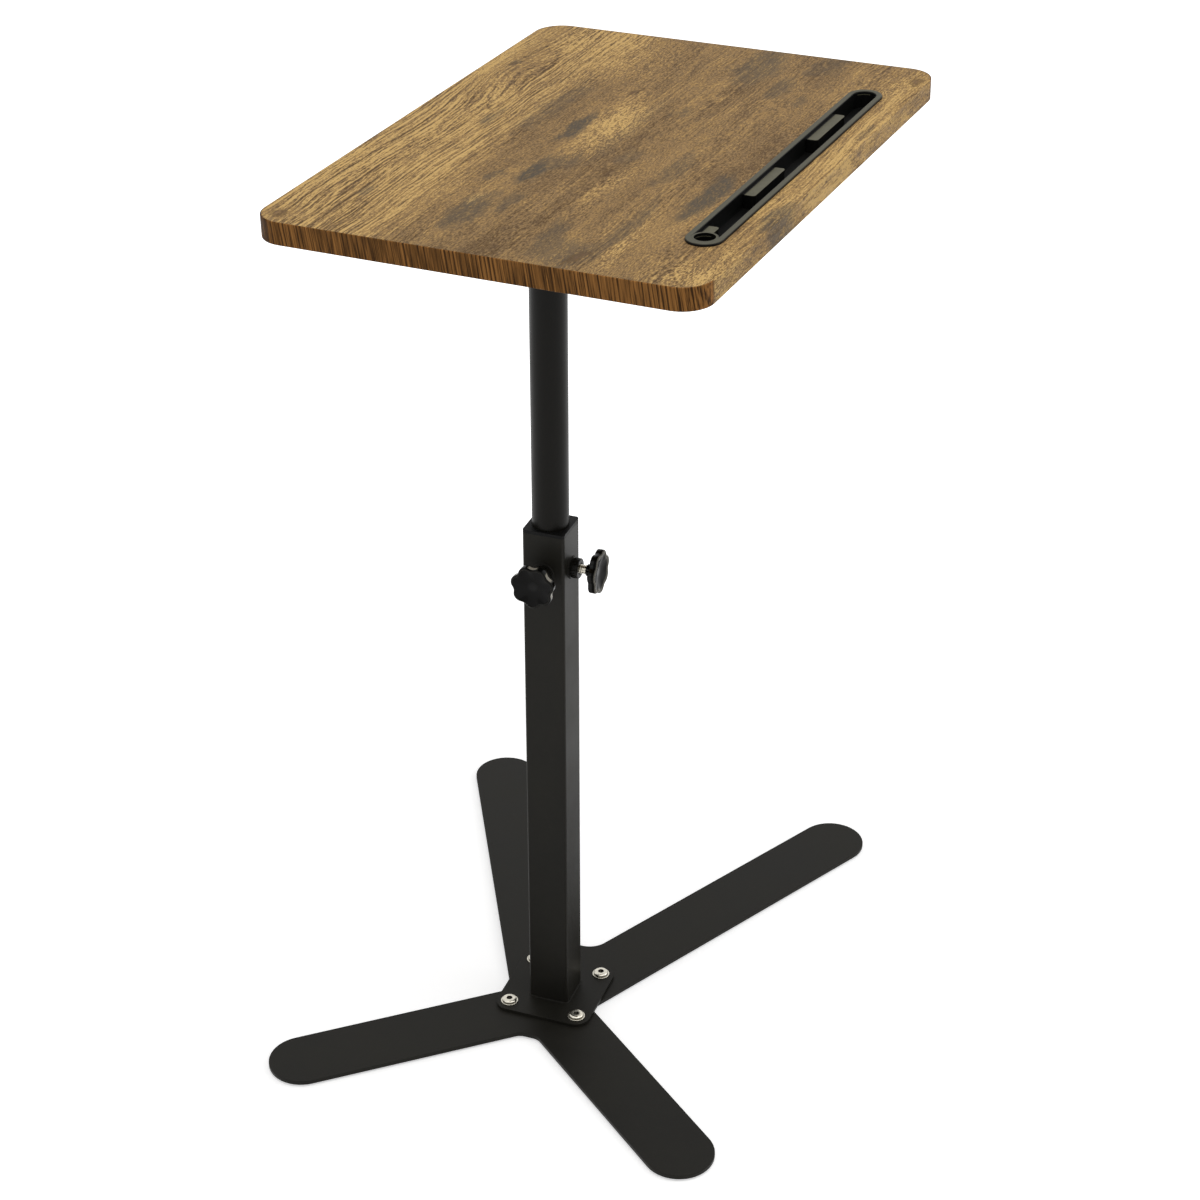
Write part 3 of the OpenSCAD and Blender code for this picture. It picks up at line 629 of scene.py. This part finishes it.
def band_wood(name, colours):
    """Edge band: upright streaks round the ends, the board's own print along the sides."""
    wood = Finish(name)
    gold, dark = colours.band_gold, colours.band_dark
    side_colour, relief, mottle, (x, y, z) = wood_print(wood, colours)
    leaning = wood.join(x, wood.plus(y, wood.times(z, 0.16)), z)
    fine = wood.noise((300, 600, 14), 3, 0.6, leaning)
    hairs = wood.noise((500, 1100, 30), 2, 0.6, leaning)
    wide = wood.noise((60, 120, 30), 3, 0.55, leaning)
    slow = wood.noise((14, 17, 3), 2, 0.5, leaning)
    tone = wood.plus(wood.times(wide, 0.5), wood.times(slow, 0.5))
    # Painted light and shade: lighter and darker stretches along the end bands
    for middle_y, reach, gain in BAND_PAINTED_LIGHT:
        lit = wood.spot(wood.place, END_X, middle_y, 60, reach, soft=(1.3, 0.2))
        tone = wood.plus(tone, wood.times(lit, gain))
    colour = wood.shades(tone, 0.38, 0.68, gold, 0.32, 1.25)
    colour = wood.mix(wood.remap(fine, 0.49, 0.6, 0, 0.85), colour, dark)
    colour = wood.mix(wood.remap(fine, 0.46, 0.36, 0, 0.65), colour, tinted(gold, 2.1))
    colour = wood.mix(wood.remap(hairs, 0.52, 0.64, 0, 0.55), colour, dark)
    ends = wood.remap(wood.maths("ABSOLUTE", x), 225 * MM, 229.5 * MM)
    return wood.finished(
        Base_Color=wood.mix(ends, side_colour, colour),
        Roughness=wood.remap(mottle, 0.3, 0.75, 0.45, 0.6),
        Specular_IOR_Level=WOOD_SPECULAR,
        Normal=wood.bump(wood.mix(ends, relief, fine), 0.14 * MM, 0.4),
    )


@cache
def finishes():
    """The desk's materials, made once, by the record's slot names."""
    colours = bpy.context.scene.desk_colours
    pitch = bpy.context.scene.desk_sizes.bolt_pitch
    boss = tinted(colours.steel_black, 0.6)
    return {
        STEEL: coated_steel("powder_coat_black", colours.steel_black),
        "mast_paint": coated_steel("mast_semi_gloss", colours.mast_black, 0.38, 0.1),
        "weld_boss": coated_steel("boss_black", boss, 0.36, 0.14),
        ZINC: plated_zinc("zinc_plate", colours.zinc),
        "bolt_heads": plated_zinc("zinc_bolt_heads", colours.zinc, pitch),
        "bush_nylon": moulded_plastic("bush_nylon_black", colours.bush_black, 0.55, 0.12),
        "white_nylon": moulded_plastic("nylon_natural", colours.nylon, 0.5),
        "knob_plastic": moulded_plastic(
            "knob_gloss_black", colours.knob_black, 0.1, 0.14, sheen=knob_painted_glints
        ),
        "foot_rubber": moulded_plastic("foot_rubber_black", colours.rubber, 0.8, 0.2),
        "board_wood": board_wood("board_wood_print", colours),
        "band_wood": band_wood("band_wood_print", colours),
        "tray_plastic": tray_moulding("tray_moulding", colours),
    }


# ---- Adding pieces


def add_piece(name, mesh, body, slot, node=None, weighted=True, finish=None):
    """Puts a mesh that already lies in its place on a body, to stand for a node if it is given."""
    mesh.shade_smooth()
    mesh.set_sharp_from_angle(angle=SHARP_ANGLE)
    mesh.materials.clear()
    mesh.materials.append(finishes()[finish or slot])
    piece = bpy.data.objects.new(name, mesh)
    bpy.context.scene.collection.objects.link(piece)
    if weighted:
        even = piece.modifiers.new("Even shading", "WEIGHTED_NORMAL")
        even.keep_sharp = True
    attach(piece, body)
    if node:
        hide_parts(node)


def to_mesh(shape, name):
    mesh = bpy.data.meshes.new(name)
    shape.to_mesh(mesh)
    shape.free()
    return mesh


def add_shape(name, shape, place, body, slot, node):
    """Adds a closed shape at a place, for a node."""
    bmesh.ops.recalc_face_normals(shape, faces=shape.faces)
    shape.transform(place)
    add_piece(name, to_mesh(shape, name), body, slot, node)


def add_grown(name, shape, make_tree, values, place, body, slot, node=None, **looks):
    """Runs a node tree on a shape, and adds the plain mesh that comes of it at a place."""
    bmesh.ops.recalc_face_normals(shape, faces=shape.faces)
    seed = bpy.data.objects.new("seed", to_mesh(shape, "seed"))
    bpy.context.scene.collection.objects.link(seed)
    modifier = seed.modifiers.new("Nodes", "NODES")
    modifier.node_group = make_tree()
    values = dict(values, Material=finishes()[slot])
    for item in make_tree().interface.items_tree:
        if item.in_out == "INPUT" and item.name in values:
            modifier[item.identifier] = values[item.name]
    graph = bpy.context.evaluated_depsgraph_get()
    mesh = bpy.data.meshes.new_from_object(seed.evaluated_get(graph), depsgraph=graph)
    seed.modifiers.clear()
    bpy.data.objects.remove(seed)
    mesh.transform(place)
    add_piece(name, mesh, body, slot, node, **looks)


def bevel(shape, edges, width, segments=2):
    bmesh.ops.bevel(
        shape, geom=edges, offset=width, offset_type="OFFSET", segments=segments,
        profile=0.5, affect="EDGES", clamp_overlap=True,
    )


def softened(node, width, corner=0.0):
    """A copy of a CAD node's mesh, its flats joined and its edges rounded."""
    shape = bmesh.new()
    shape.from_mesh(frame["nodes"][node].data)
    bmesh.ops.remove_doubles(shape, verts=shape.verts, dist=MERGE)
    bmesh.ops.dissolve_limit(
        shape, angle_limit=FLAT_ANGLE, verts=shape.verts, edges=shape.edges
    )
    if corner:
        upright = [
            edge for edge in shape.edges
            if abs(edge.verts[0].co.z - edge.verts[1].co.z) > 0.9 * edge.calc_length()
            and edge.calc_face_angle(0) > math.radians(15)
        ]
        bevel(shape, upright, corner, 8)
    sharp = [
        edge for edge in shape.edges
        if len(edge.link_faces) == 2 and edge.calc_face_angle() > BEVEL_ANGLE
    ]
    bevel(shape, sharp, width)
    return to_mesh(shape, node)


def soften_piece(name, node, body, slot, width, corner=0.0):
    add_piece(name, softened(node, width, corner), body, slot, node)


# ---- Shapes


def loft(rings, closed=False):
    """Joins rings of points, and closes the ends with a fan or joins last to first."""
    shape = bmesh.new()
    made = [[shape.verts.new(point) for point in ring] for ring in rings]
    pairs = list(zip(made, made[1:]))
    if closed:
        pairs.append((made[-1], made[0]))
    count = len(made[0])
    for low, high in pairs:
        for i in range(count):
            j = (i + 1) % count
            shape.faces.new((low[i], low[j], high[j], high[i]))
    if not closed:
        for ring, flip in ((made[0], True), (made[-1], False)):
            middle = shape.verts.new(sum((v.co for v in ring), Vector()) / count)
            for i in range(count):
                a, b = ring[i], ring[(i + 1) % count]
                shape.faces.new((b, a, middle) if flip else (a, b, middle))
    return shape


def shaped_ring(radius_at, height, count=AROUND):
    """A ring whose radius is a function of the angle."""
    return [
        Vector((radius_at(a) * math.cos(a), radius_at(a) * math.sin(a), height))
        for a in (2 * math.pi * i / count for i in range(count))
    ]


def circle_ring(radius, height, count=AROUND):
    return shaped_ring(lambda angle: radius, height, count)


def hex_radius(reach):
    third = math.pi / 3
    return lambda angle: reach / math.cos((angle + third / 2) % third - third / 2)


def turned(profile, closed=False):
    """A turned shape from (radius, height) points."""
    return loft([circle_ring(radius, height) for radius, height in profile], closed)


def washer_shape(outer, inner, height, ease):
    """A flat washer from z = 0 up, its outer edges rounded."""
    profile = [(inner, 0)]
    for level, start in ((ease, -90), (height - ease, 0)):
        for i in range(5):
            a = math.radians(start + 90 * i / 4)
            profile.append((outer - ease + ease * math.cos(a), level + ease * math.sin(a)))
    return turned(profile + [(inner, height)], closed=True)


def bolt_shape(sizes, below):
    """Button-head bolt with a hex socket: seat at z = 0, shank down to -below."""
    r, head_r, head_h = sizes.bolt_radius, sizes.head_radius, sizes.head_height
    reach = sizes.socket_reach
    chamfer = 0.8 * MM
    skirt = 0.7 * MM  # height of the head's upright edge
    crown = 4.0 * MM  # radius of its flat top
    profile = [
        (r - chamfer, -below), (r, -below + chamfer), (r, 0),
        (head_r - 0.25 * MM, 0), (head_r, 0.3 * MM), (head_r, skirt),
    ]
    for i in range(1, 9):
        a = math.radians(90 * i / 8)
        rise = (head_h - skirt) * math.sin(a)
        profile.append((crown + (head_r - crown) * math.cos(a), skirt + rise))
    profile.append((3.3 * MM, head_h))
    rings = [circle_ring(radius, height) for radius, height in profile]
    for wider, deep in ((0.15 * MM, 0), (0, 0.2 * MM), (0, 1.9 * MM)):
        rings.append(shaped_ring(hex_radius(reach + wider), head_h - deep))
    rings.append(circle_ring(reach * 0.7, head_h - 2.1 * MM))
    return loft(rings)


def wood_screw_shape():
    """Pan-head wood screw with a cross recess, its point up and its head down."""
    cross_r, slot_half = 2.1 * MM, 0.42 * MM

    def cross(angle):
        a = abs((angle + math.pi / 4) % (math.pi / 2) - math.pi / 4)
        return min(cross_r, slot_half / math.sin(a)) if a > 0.15 else cross_r

    profile = [
        (0.6, 12), (2, 8), (2, 0), (4.2, 0), (4.2, -0.6), (3.9, -1.4), (3.2, -2.05), (2.5, -2.3),
    ]
    rings = [circle_ring(radius * MM, height * MM) for radius, height in profile]
    rings.append(shaped_ring(cross, -2.34 * MM))
    rings.append(shaped_ring(lambda a: 0.8 * cross(a), -1.3 * MM))
    return loft(rings)


def knob_outline(sizes):
    """Radius of a star knob at an angle: lobes and valleys that run into each other."""
    lobe, valley = sizes.lobe_radius, sizes.valley_radius
    core = sizes.knob_radius - lobe
    step = math.pi / sizes.knob_lobes
    far = core * math.cos(step) + math.sqrt((lobe + valley) ** 2 - (core * math.sin(step)) ** 2)
    middle = Vector((core, 0))
    other = Vector((far * math.cos(step), far * math.sin(step)))
    touch = middle + (other - middle) * lobe / (lobe + valley)
    change = math.atan2(touch.y, touch.x)

    def radius(angle):
        a = (angle + step) % (2 * step) - step
        if abs(a) <= change:
            return core * math.cos(a) + math.sqrt(lobe ** 2 - (core * math.sin(a)) ** 2)
        b = step - abs(a)
        return far * math.cos(b) - math.sqrt(valley ** 2 - (far * math.sin(b)) ** 2)

    return radius


def knob_shape(sizes):
    """Star knob: waisted neck, rounded lobes, a thin raised rim and a dished face."""
    outline = knob_outline(sizes)
    count = LOBE_STEPS * sizes.knob_lobes
    neck_r = 1.3 * sizes.bolt_radius
    back = sizes.knob_neck
    top = back + sizes.knob_head
    ease = 1.6 * MM  # rounding of the lobes' edges
    edge = 0.9 * ease
    rim = 0.5 * MM
    inner = edge + 1.7 * rim
    lip, dish = 0.45 * MM, 2.8 * MM  # drop inside the rim, and then down to the middle
    dish_rings = 10

    def lobed(inset, height):
        return shaped_ring(lambda a: outline(a) - inset, height, count)

    neck = [
        (neck_r - 0.4 * MM, 0), (neck_r, 0.4 * MM), (neck_r + 0.3 * MM, 0.5 * back),
        (neck_r + 1.4 * MM, 0.82 * back), (neck_r + 3.0 * MM, back),
    ]
    rings = [circle_ring(radius, height, count) for radius, height in neck]
    rings.append([low.lerp(high, 0.55) for low, high in zip(rings[-1], lobed(ease, back))])
    quarter = [math.radians(90 * i / 5) for i in range(6)]
    rings += [lobed(ease * (1 - math.sin(a)), back + ease * (1 - math.cos(a))) for a in quarter]
    rings += [lobed(edge * (1 - math.cos(a)), top - ease * (1 - math.sin(a))) for a in quarter]
    rings += [lobed(edge + rim, top), lobed(inner, top - lip)]
    for i in range(1, dish_rings + 1):
        part = i / (dish_rings + 1)
        blend = min(1.0, 2.2 * part)  # from the lobes' outline to a circle
        round_r = (sizes.knob_radius - inner - 1.0 * MM) * (1 - part)
        level = Vector((0, 0, top - lip - dish * math.sin(part * math.pi / 2)))
        ring = []
        for point in lobed(inner, 0):
            radius = point.length * (1 - part) * (1 - blend) + round_r * blend
            ring.append(point.normalized() * radius + level)
        rings.append(ring)
    return loft(rings)


# ---- Welds, screws and bosses


def weld_bead(name, width, corner, leg, body, place):
    """A rippled weld bead round a square or round foot, lying at the place's z = 0."""
    bead = bmesh.new()
    bmesh.ops.create_uvsphere(bead, u_segments=10, v_segments=6, radius=1)
    bead.transform(Matrix.Diagonal((leg * 0.85, leg, leg * 0.8, 1)))
    length = 4 * (width - 2 * corner) + 2 * math.pi * corner
    values = {"Width": width, "Corner": corner, "Count": max(12, round(length / (0.8 * leg)))}
    add_grown(name, bead, path_tree, values, place, body, STEEL, weighted=False)


def threaded_screw(side, kind, place, tip, end, sizes):
    """A screw from tip to end along its axis, with a thread between its bare ends."""
    crest = sizes.bolt_radius - 0.02 * MM
    root = crest - sizes.thread_depth
    ridge = sizes.thread_depth * 0.62
    bare = 1.1 * MM  # length without a thread at each end
    core = turned([
        (root - 0.6 * MM, tip), (root, tip + 0.7 * MM), (root, end - 0.2 * MM),
        (root - 0.2 * MM, end),
    ])
    run = end - tip - 2 * bare
    values = {
        "Radius": crest - ridge, "Depth": ridge, "Length": run, "Turns": run / sizes.thread_pitch,
        "Start": (0, 0, tip + bare), "Steps": THREAD_STEPS,
    }
    name = f"{side}_{kind}"
    add_grown(
        name + "_thread", core, thread_tree, values, place, side + "_screw", ZINC,
        name + "_screw", weighted=False,
    )


def star_knob(side, kind, place, seat, sizes):
    add_shape(
        side + "_star_knob", knob_shape(sizes), place @ shift(0, 0, seat),
        side + "_knob", "knob_plastic", f"{side}_{kind}_knob",
    )


def boss_pieces(name, node, place, sizes):
    """Threaded boss: collar, ribbed barrel and chamfered mouth, with its weld bead."""
    r, length = sizes.boss_radius, sizes.boss_length
    waist = r - 0.7 * MM
    hole = sizes.bolt_radius + 0.1 * MM
    profile = [
        (hole, 0), (r, 0), (r, 1.2 * MM), (waist, 1.5 * MM), (waist, length - 2.2 * MM),
        (r, length - 1.9 * MM), (r, length - 0.6 * MM), (r - 0.6 * MM, length),
        (hole + 1.4 * MM, length), (hole + 1.2 * MM, length - 0.5 * MM), (hole, length - 1.1 * MM),
    ]
    add_shape(name, turned(profile, closed=True), place, "base", "weld_boss", node)
    rib = bmesh.new()
    bmesh.ops.create_cube(rib, size=1)
    rib.transform(Matrix.Diagonal((1.15 * MM, 0.8 * MM, length - 3.9 * MM, 1)))
    bevel(rib, rib.edges[:], 0.25 * MM)
    path_r = r - 0.45 * MM
    values = {"Width": 2 * path_r, "Corner": path_r * ROUND, "Count": sizes.boss_ribs}
    barrel = place @ shift(0, 0, 0.5 * (length - 0.35 * MM))
    add_grown(name + "_ribs", rib, path_tree, values, barrel, "base", "weld_boss", weighted=False)
    weld_r = r + 0.4 * MM
    weld_bead(name + "_weld", 2 * weld_r, weld_r * ROUND, 0.9 * MM, "base", place)


# ---- The desk, group by group


class DESK_OT_base(bpy.types.Operator):
    """Build the flat cross base, its rubber feet and the column's foot flange"""

    bl_idname = "desk.base"
    bl_label = "Cross base"

    def execute(self, context):
        sizes = context.scene.desk_sizes
        edge, web = sizes.edge_break, sizes.web_round
        soften_piece("cross_base", "base_plate", "base", STEEL, edge, web)
        soften_piece("rubber_feet", "foot_pads", "base", "foot_rubber", 0.4 * MM)
        flange = softened("column_flange", edge)
        flange.transform(Matrix.Diagonal((FLANGE_SHRINK, FLANGE_SHRINK, 1, 1)))
        add_piece("foot_flange", flange, "base", STEEL, "column_flange")
        return {"FINISHED"}


class DESK_OT_column(bpy.types.Operator):
    """Build the square column, its bush, its welds and the two clamp bosses"""

    bl_idname = "desk.column"
    bl_label = "Column"

    def execute(self, context):
        sizes = context.scene.desk_sizes
        soften_piece("column", "column_tube", "base", STEEL, sizes.tube_break)
        soften_piece("bush", "column_bush", "base", "bush_nylon", 0.3 * MM)
        width = 2 * (sizes.column_half + 0.3 * sizes.weld_leg)
        place = COLUMN @ shift(0, 0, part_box("column_tube")[0].z)
        weld_bead("column_weld", width, 3.2 * MM, sizes.weld_leg, "base", place)
        for side in CLAMP_TURNS:
            place = clamp_place(side, sizes.column_half)
            boss_pieces("clamp_boss_" + side, side + "_boss", place, sizes)
        return {"FINISHED"}


class DESK_OT_bolts(bpy.types.Operator):
    """Build the four flange bolts and their washers"""

    bl_idname = "desk.bolts"
    bl_label = "Flange bolts"

    def execute(self, context):
        sizes = context.scene.desk_sizes
        r, pitch, height = sizes.bolt_radius, sizes.bolt_pitch, sizes.washer_height
        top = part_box("column_flange")[1].z
        square = {"Width": pitch, "Depth": pitch, "Columns": 2, "Rows": 2}
        washer = washer_shape(2 * r, r + 0.3 * MM, height, 0.3 * MM)
        add_grown(
            "flange_bolt_washers", washer, grid_tree, square, COLUMN @ shift(0, 0, top),
            "base", ZINC, "flange_washers",
        )
        bolt = bolt_shape(sizes, sizes.flange_stack + height)
        add_grown(
            "flange_bolt_heads", bolt, grid_tree, square, COLUMN @ shift(0, 0, top + height),
            "base", ZINC, "flange_bolts", finish="bolt_heads",
        )
        return {"FINISHED"}


class DESK_OT_mast(bpy.types.Operator):
    """Build the round mast and the block that guides its foot in the column"""

    bl_idname = "desk.mast"
    bl_label = "Mast"

    def execute(self, context):
        sizes = context.scene.desk_sizes
        soften_piece("mast", "mast_tube", "mast", "mast_paint", sizes.tube_break)
        soften_piece("guide_block", "lower_guide", "guide", "white_nylon", 0.5 * MM)
        low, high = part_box("mast_tube")
        ring = (high.x - low.x) / 2 + 0.1 * MM
        weld_bead("mast_weld", 2 * ring, ring * ROUND, 0.8 * MM, "mast", shift(0, 0, high.z))
        return {"FINISHED"}


class DESK_OT_clamps(bpy.types.Operator):
    """Build the clamp screws and the star knobs"""

    bl_idname = "desk.clamps"
    bl_label = "Clamp screws and knobs"

    def execute(self, context):
        sizes = context.scene.desk_sizes
        seat = sizes.column_half + sizes.boss_length + sizes.screw_show
        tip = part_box("mast_tube")[1].x + CLAMP_GAP
        end = seat + sizes.knob_neck + 2 * MM
        for side in CLAMP_TURNS:
            threaded_screw(side, "clamp", clamp_place(side), tip, end, sizes)
            star_knob(side, "clamp", clamp_place(side), seat, sizes)
        return {"FINISHED"}


class DESK_OT_tilt_head(bpy.types.Operator):
    """Build the tilt head under the board: yoke, bracket, pivot, lock and wood screws"""

    bl_idname = "desk.tilt_head"
    bl_label = "Tilt head"

    def execute(self, context):
        sizes = context.scene.desk_sizes
        soften_piece("yoke", "tilt_yoke", "mast", STEEL, sizes.edge_break)
        soften_piece("lock_nut", "tilt_weld_nut", "mast", ZINC, 0.3 * MM)
        soften_piece("nylon_washers", "thrust_washers", "mast", "white_nylon", 0.15 * MM)
        soften_piece("pivot_lock_nut", "pivot_nut", "mast", ZINC, 0.3 * MM)
        soften_piece("pivot_bolt_washers", "pivot_washers", "mast", ZINC, 0.25 * MM)
        soften_piece("bracket", "top_bracket", "top", STEEL, sizes.edge_break)
        low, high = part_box("pivot_bolt")
        seat = high.x - sizes.head_height
        place = shift(seat, 0, PIVOT.z) @ ALONG_X
        bolt = bolt_shape(sizes, seat - low.x)
        add_shape("pivot_bolt_head", bolt, place, "mast", ZINC, "pivot_bolt")
        self.lock(sizes, shift(0, 0, LOCK_Z) @ ALONG_X)
        self.wood_screws(sizes)
        return {"FINISHED"}

    def lock(self, sizes, place):
        """The lock's screw and knob, and the washer between knob and yoke."""
        low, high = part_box("tilt_lock_screw")
        threaded_screw("tilt", "lock", place, low.x, high.x - 0.3 * MM, sizes)
        low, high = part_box("tilt_lock_washer")
        r = sizes.bolt_radius
        ring = washer_shape(2 * r, r + 0.05 * MM, high.x - low.x, 0.3 * MM)
        seat = place @ shift(0, 0, low.x)
        add_shape("tilt_lock_ring", ring, seat, "tilt_screw", ZINC, "tilt_lock_washer")
        star_knob("tilt", "lock", place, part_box("tilt_lock_knob")[0].x, sizes)

    def wood_screws(self, sizes):
        """Six wood screws through the bracket into the board."""
        width, depth = sizes.wood_screw_gauge, 2 * sizes.wood_screw_pitch
        grid = {"Width": width, "Depth": depth, "Columns": 2, "Rows": 3}
        seat = PIVOT.z + BOARD_RISE - BOARD_THICK - BRACKET_THICK
        place = BOARD @ shift(0, WOOD_SCREWS_Y, seat)
        screw = wood_screw_shape()
        add_grown("wood_screws", screw, grid_tree, grid, place, "top", ZINC, "bracket_screws")


class DESK_OT_board(bpy.types.Operator):
    """Build the printed board and its edge band"""

    bl_idname = "desk.board"
    bl_label = "Board"

    def execute(self, context):
        soften_piece("board", "table_top", "top", "board_wood", 0.08 * MM)
        soften_piece("board_edge_band", "edge_band", "top", "band_wood", 0.06 * MM)
        return {"FINISHED"}


class DESK_OT_tray(bpy.types.Operator):
    """Build the moulded tray for a tablet and pens"""

    bl_idname = "desk.tray"
    bl_label = "Tablet tray"

    def execute(self, context):
        soften_piece("tray", "tablet_tray", "top", "tray_plastic", 0.35 * MM)
        return {"FINISHED"}


# ---- Stage


CAMERA_PLACE = (1.786724, 0.880569, 1.590181)
CAMERA_AIM = (-0.78348, -0.36577, -0.50237)
CAMERA_LENS = 79.70

# Lamps: name, place, point that it faces, size, power
LAMPS = [
    ("top_softbox", (0.3, 0.5, 2.9), (0, 0, 0.6), 2.2, 30),
    ("rear_softbox", (-1.2, 2.6, 1.9), (0, 0, 0.5), 1.8, 17),
    ("front_fill", (2.6, -1.4, 1.5), (0, 0, 0.5), 1.6, 7),
]
AMBIENT = 0.42  # light from all round; what is seen of it is white
FLOOR_SIZE = 14
FLOOR_Z = -0.2 * MM
FLOOR_GLOW = 0.5  # near the desk, where its shadow lies
GLOW_FADE = (0.45, 1.1)  # distances over which the floor's glow grows to white


def stand(name, data, place, direction):
    """Stands a camera or a lamp at a place, and turns it to a direction."""
    thing = bpy.data.objects.new(name, data)
    thing.location = place
    thing.rotation_euler = Vector(direction).to_track_quat("-Z", "Y").to_euler()
    bpy.context.scene.collection.objects.link(thing)
    return thing


class DESK_OT_stage(bpy.types.Operator):
    """Set up the camera, the lamps and a plain white floor"""

    bl_idname = "desk.stage"
    bl_label = "Stage"

    def execute(self, context):
        scene = context.scene
        data = bpy.data.cameras.new("photo_camera")
        data.lens = CAMERA_LENS
        data.sensor_width = 36
        scene.camera = stand("photo_camera", data, CAMERA_PLACE, CAMERA_AIM)
        for name, place, target, size, power in LAMPS:
            data = bpy.data.lights.new(name, "AREA")
            data.shape = "SQUARE"
            data.size = size
            data.energy = power
            stand(name, data, place, Vector(target) - Vector(place))
        self.floor(scene.desk_colours.floor)
        self.world(scene)
        scene.view_settings.view_transform = "Standard"
        return {"FINISHED"}

    def floor(self, colour):
        bpy.ops.mesh.primitive_plane_add(size=FLOOR_SIZE, location=(0, 0, FLOOR_Z))
        floor = bpy.context.object
        floor.name = "studio_floor"
        white = Finish("studio_white")
        white.finished(Base_Color=colour, Roughness=0.95, Specular_IOR_Level=0.0)
        level = white.remap(white.far(white.place), *GLOW_FADE, FLOOR_GLOW, 1.0)
        glow = white.out("ShaderNodeEmission", {
            "Color": (1, 1, 1), "Strength": white.times(white.backdrop_rays(), level),
        })
        both = white.out("ShaderNodeAddShader", {0: white.shader.outputs[0], 1: glow})
        white.feed(white.tree.nodes["Material Output"].inputs[0], both)
        floor.data.materials.append(white.material)

    def world(self, scene):
        scene.world = bpy.data.worlds.new("studio_world")
        scene.world.use_nodes = True
        nodes = Nodes(scene.world.node_tree)
        white = nodes.tree.nodes["Background"].inputs
        nodes.feed(white["Color"], (1, 1, 1))
        inputs = {"Value": nodes.backdrop_rays(), "To Min": AMBIENT, "To Max": 1.0}
        nodes.feed(white["Strength"], nodes.out("ShaderNodeMapRange", inputs))


class DESK_PT_panel(bpy.types.Panel):
    """Lists the desk's pieces, sizes and colours"""

    bl_idname = "DESK_PT_panel"
    bl_label = "Laptop Desk"
    bl_space_type = "VIEW_3D"
    bl_region_type = "UI"
    bl_category = "Laptop Desk"

    def draw(self, context):
        layout = self.layout
        for operator in OPERATORS:
            layout.operator(operator.bl_idname)
        for group in (context.scene.desk_sizes, context.scene.desk_colours):
            box = layout.box()
            for name in group.bl_rna.properties.keys():
                if name not in ("rna_type", "name"):
                    box.prop(group, name)


OPERATORS = (
    DESK_OT_stage, DESK_OT_base, DESK_OT_column, DESK_OT_bolts, DESK_OT_mast, DESK_OT_clamps,
    DESK_OT_tilt_head, DESK_OT_board, DESK_OT_tray,
)
CLASSES = (DeskSizes, DeskColours, *OPERATORS, DESK_PT_panel)


def register():
    for cls in CLASSES:
        bpy.utils.register_class(cls)
    bpy.types.Scene.desk_sizes = PointerProperty(type=DeskSizes)
    bpy.types.Scene.desk_colours = PointerProperty(type=DeskColours)


def unregister():
    del bpy.types.Scene.desk_sizes
    del bpy.types.Scene.desk_colours
    for cls in reversed(CLASSES):
        bpy.utils.unregister_class(cls)


def main():
    register()
    for operator in OPERATORS:
        area, name = operator.bl_idname.split(".")
        getattr(getattr(bpy.ops, area), name)()


if __name__ == "__main__":
    main()
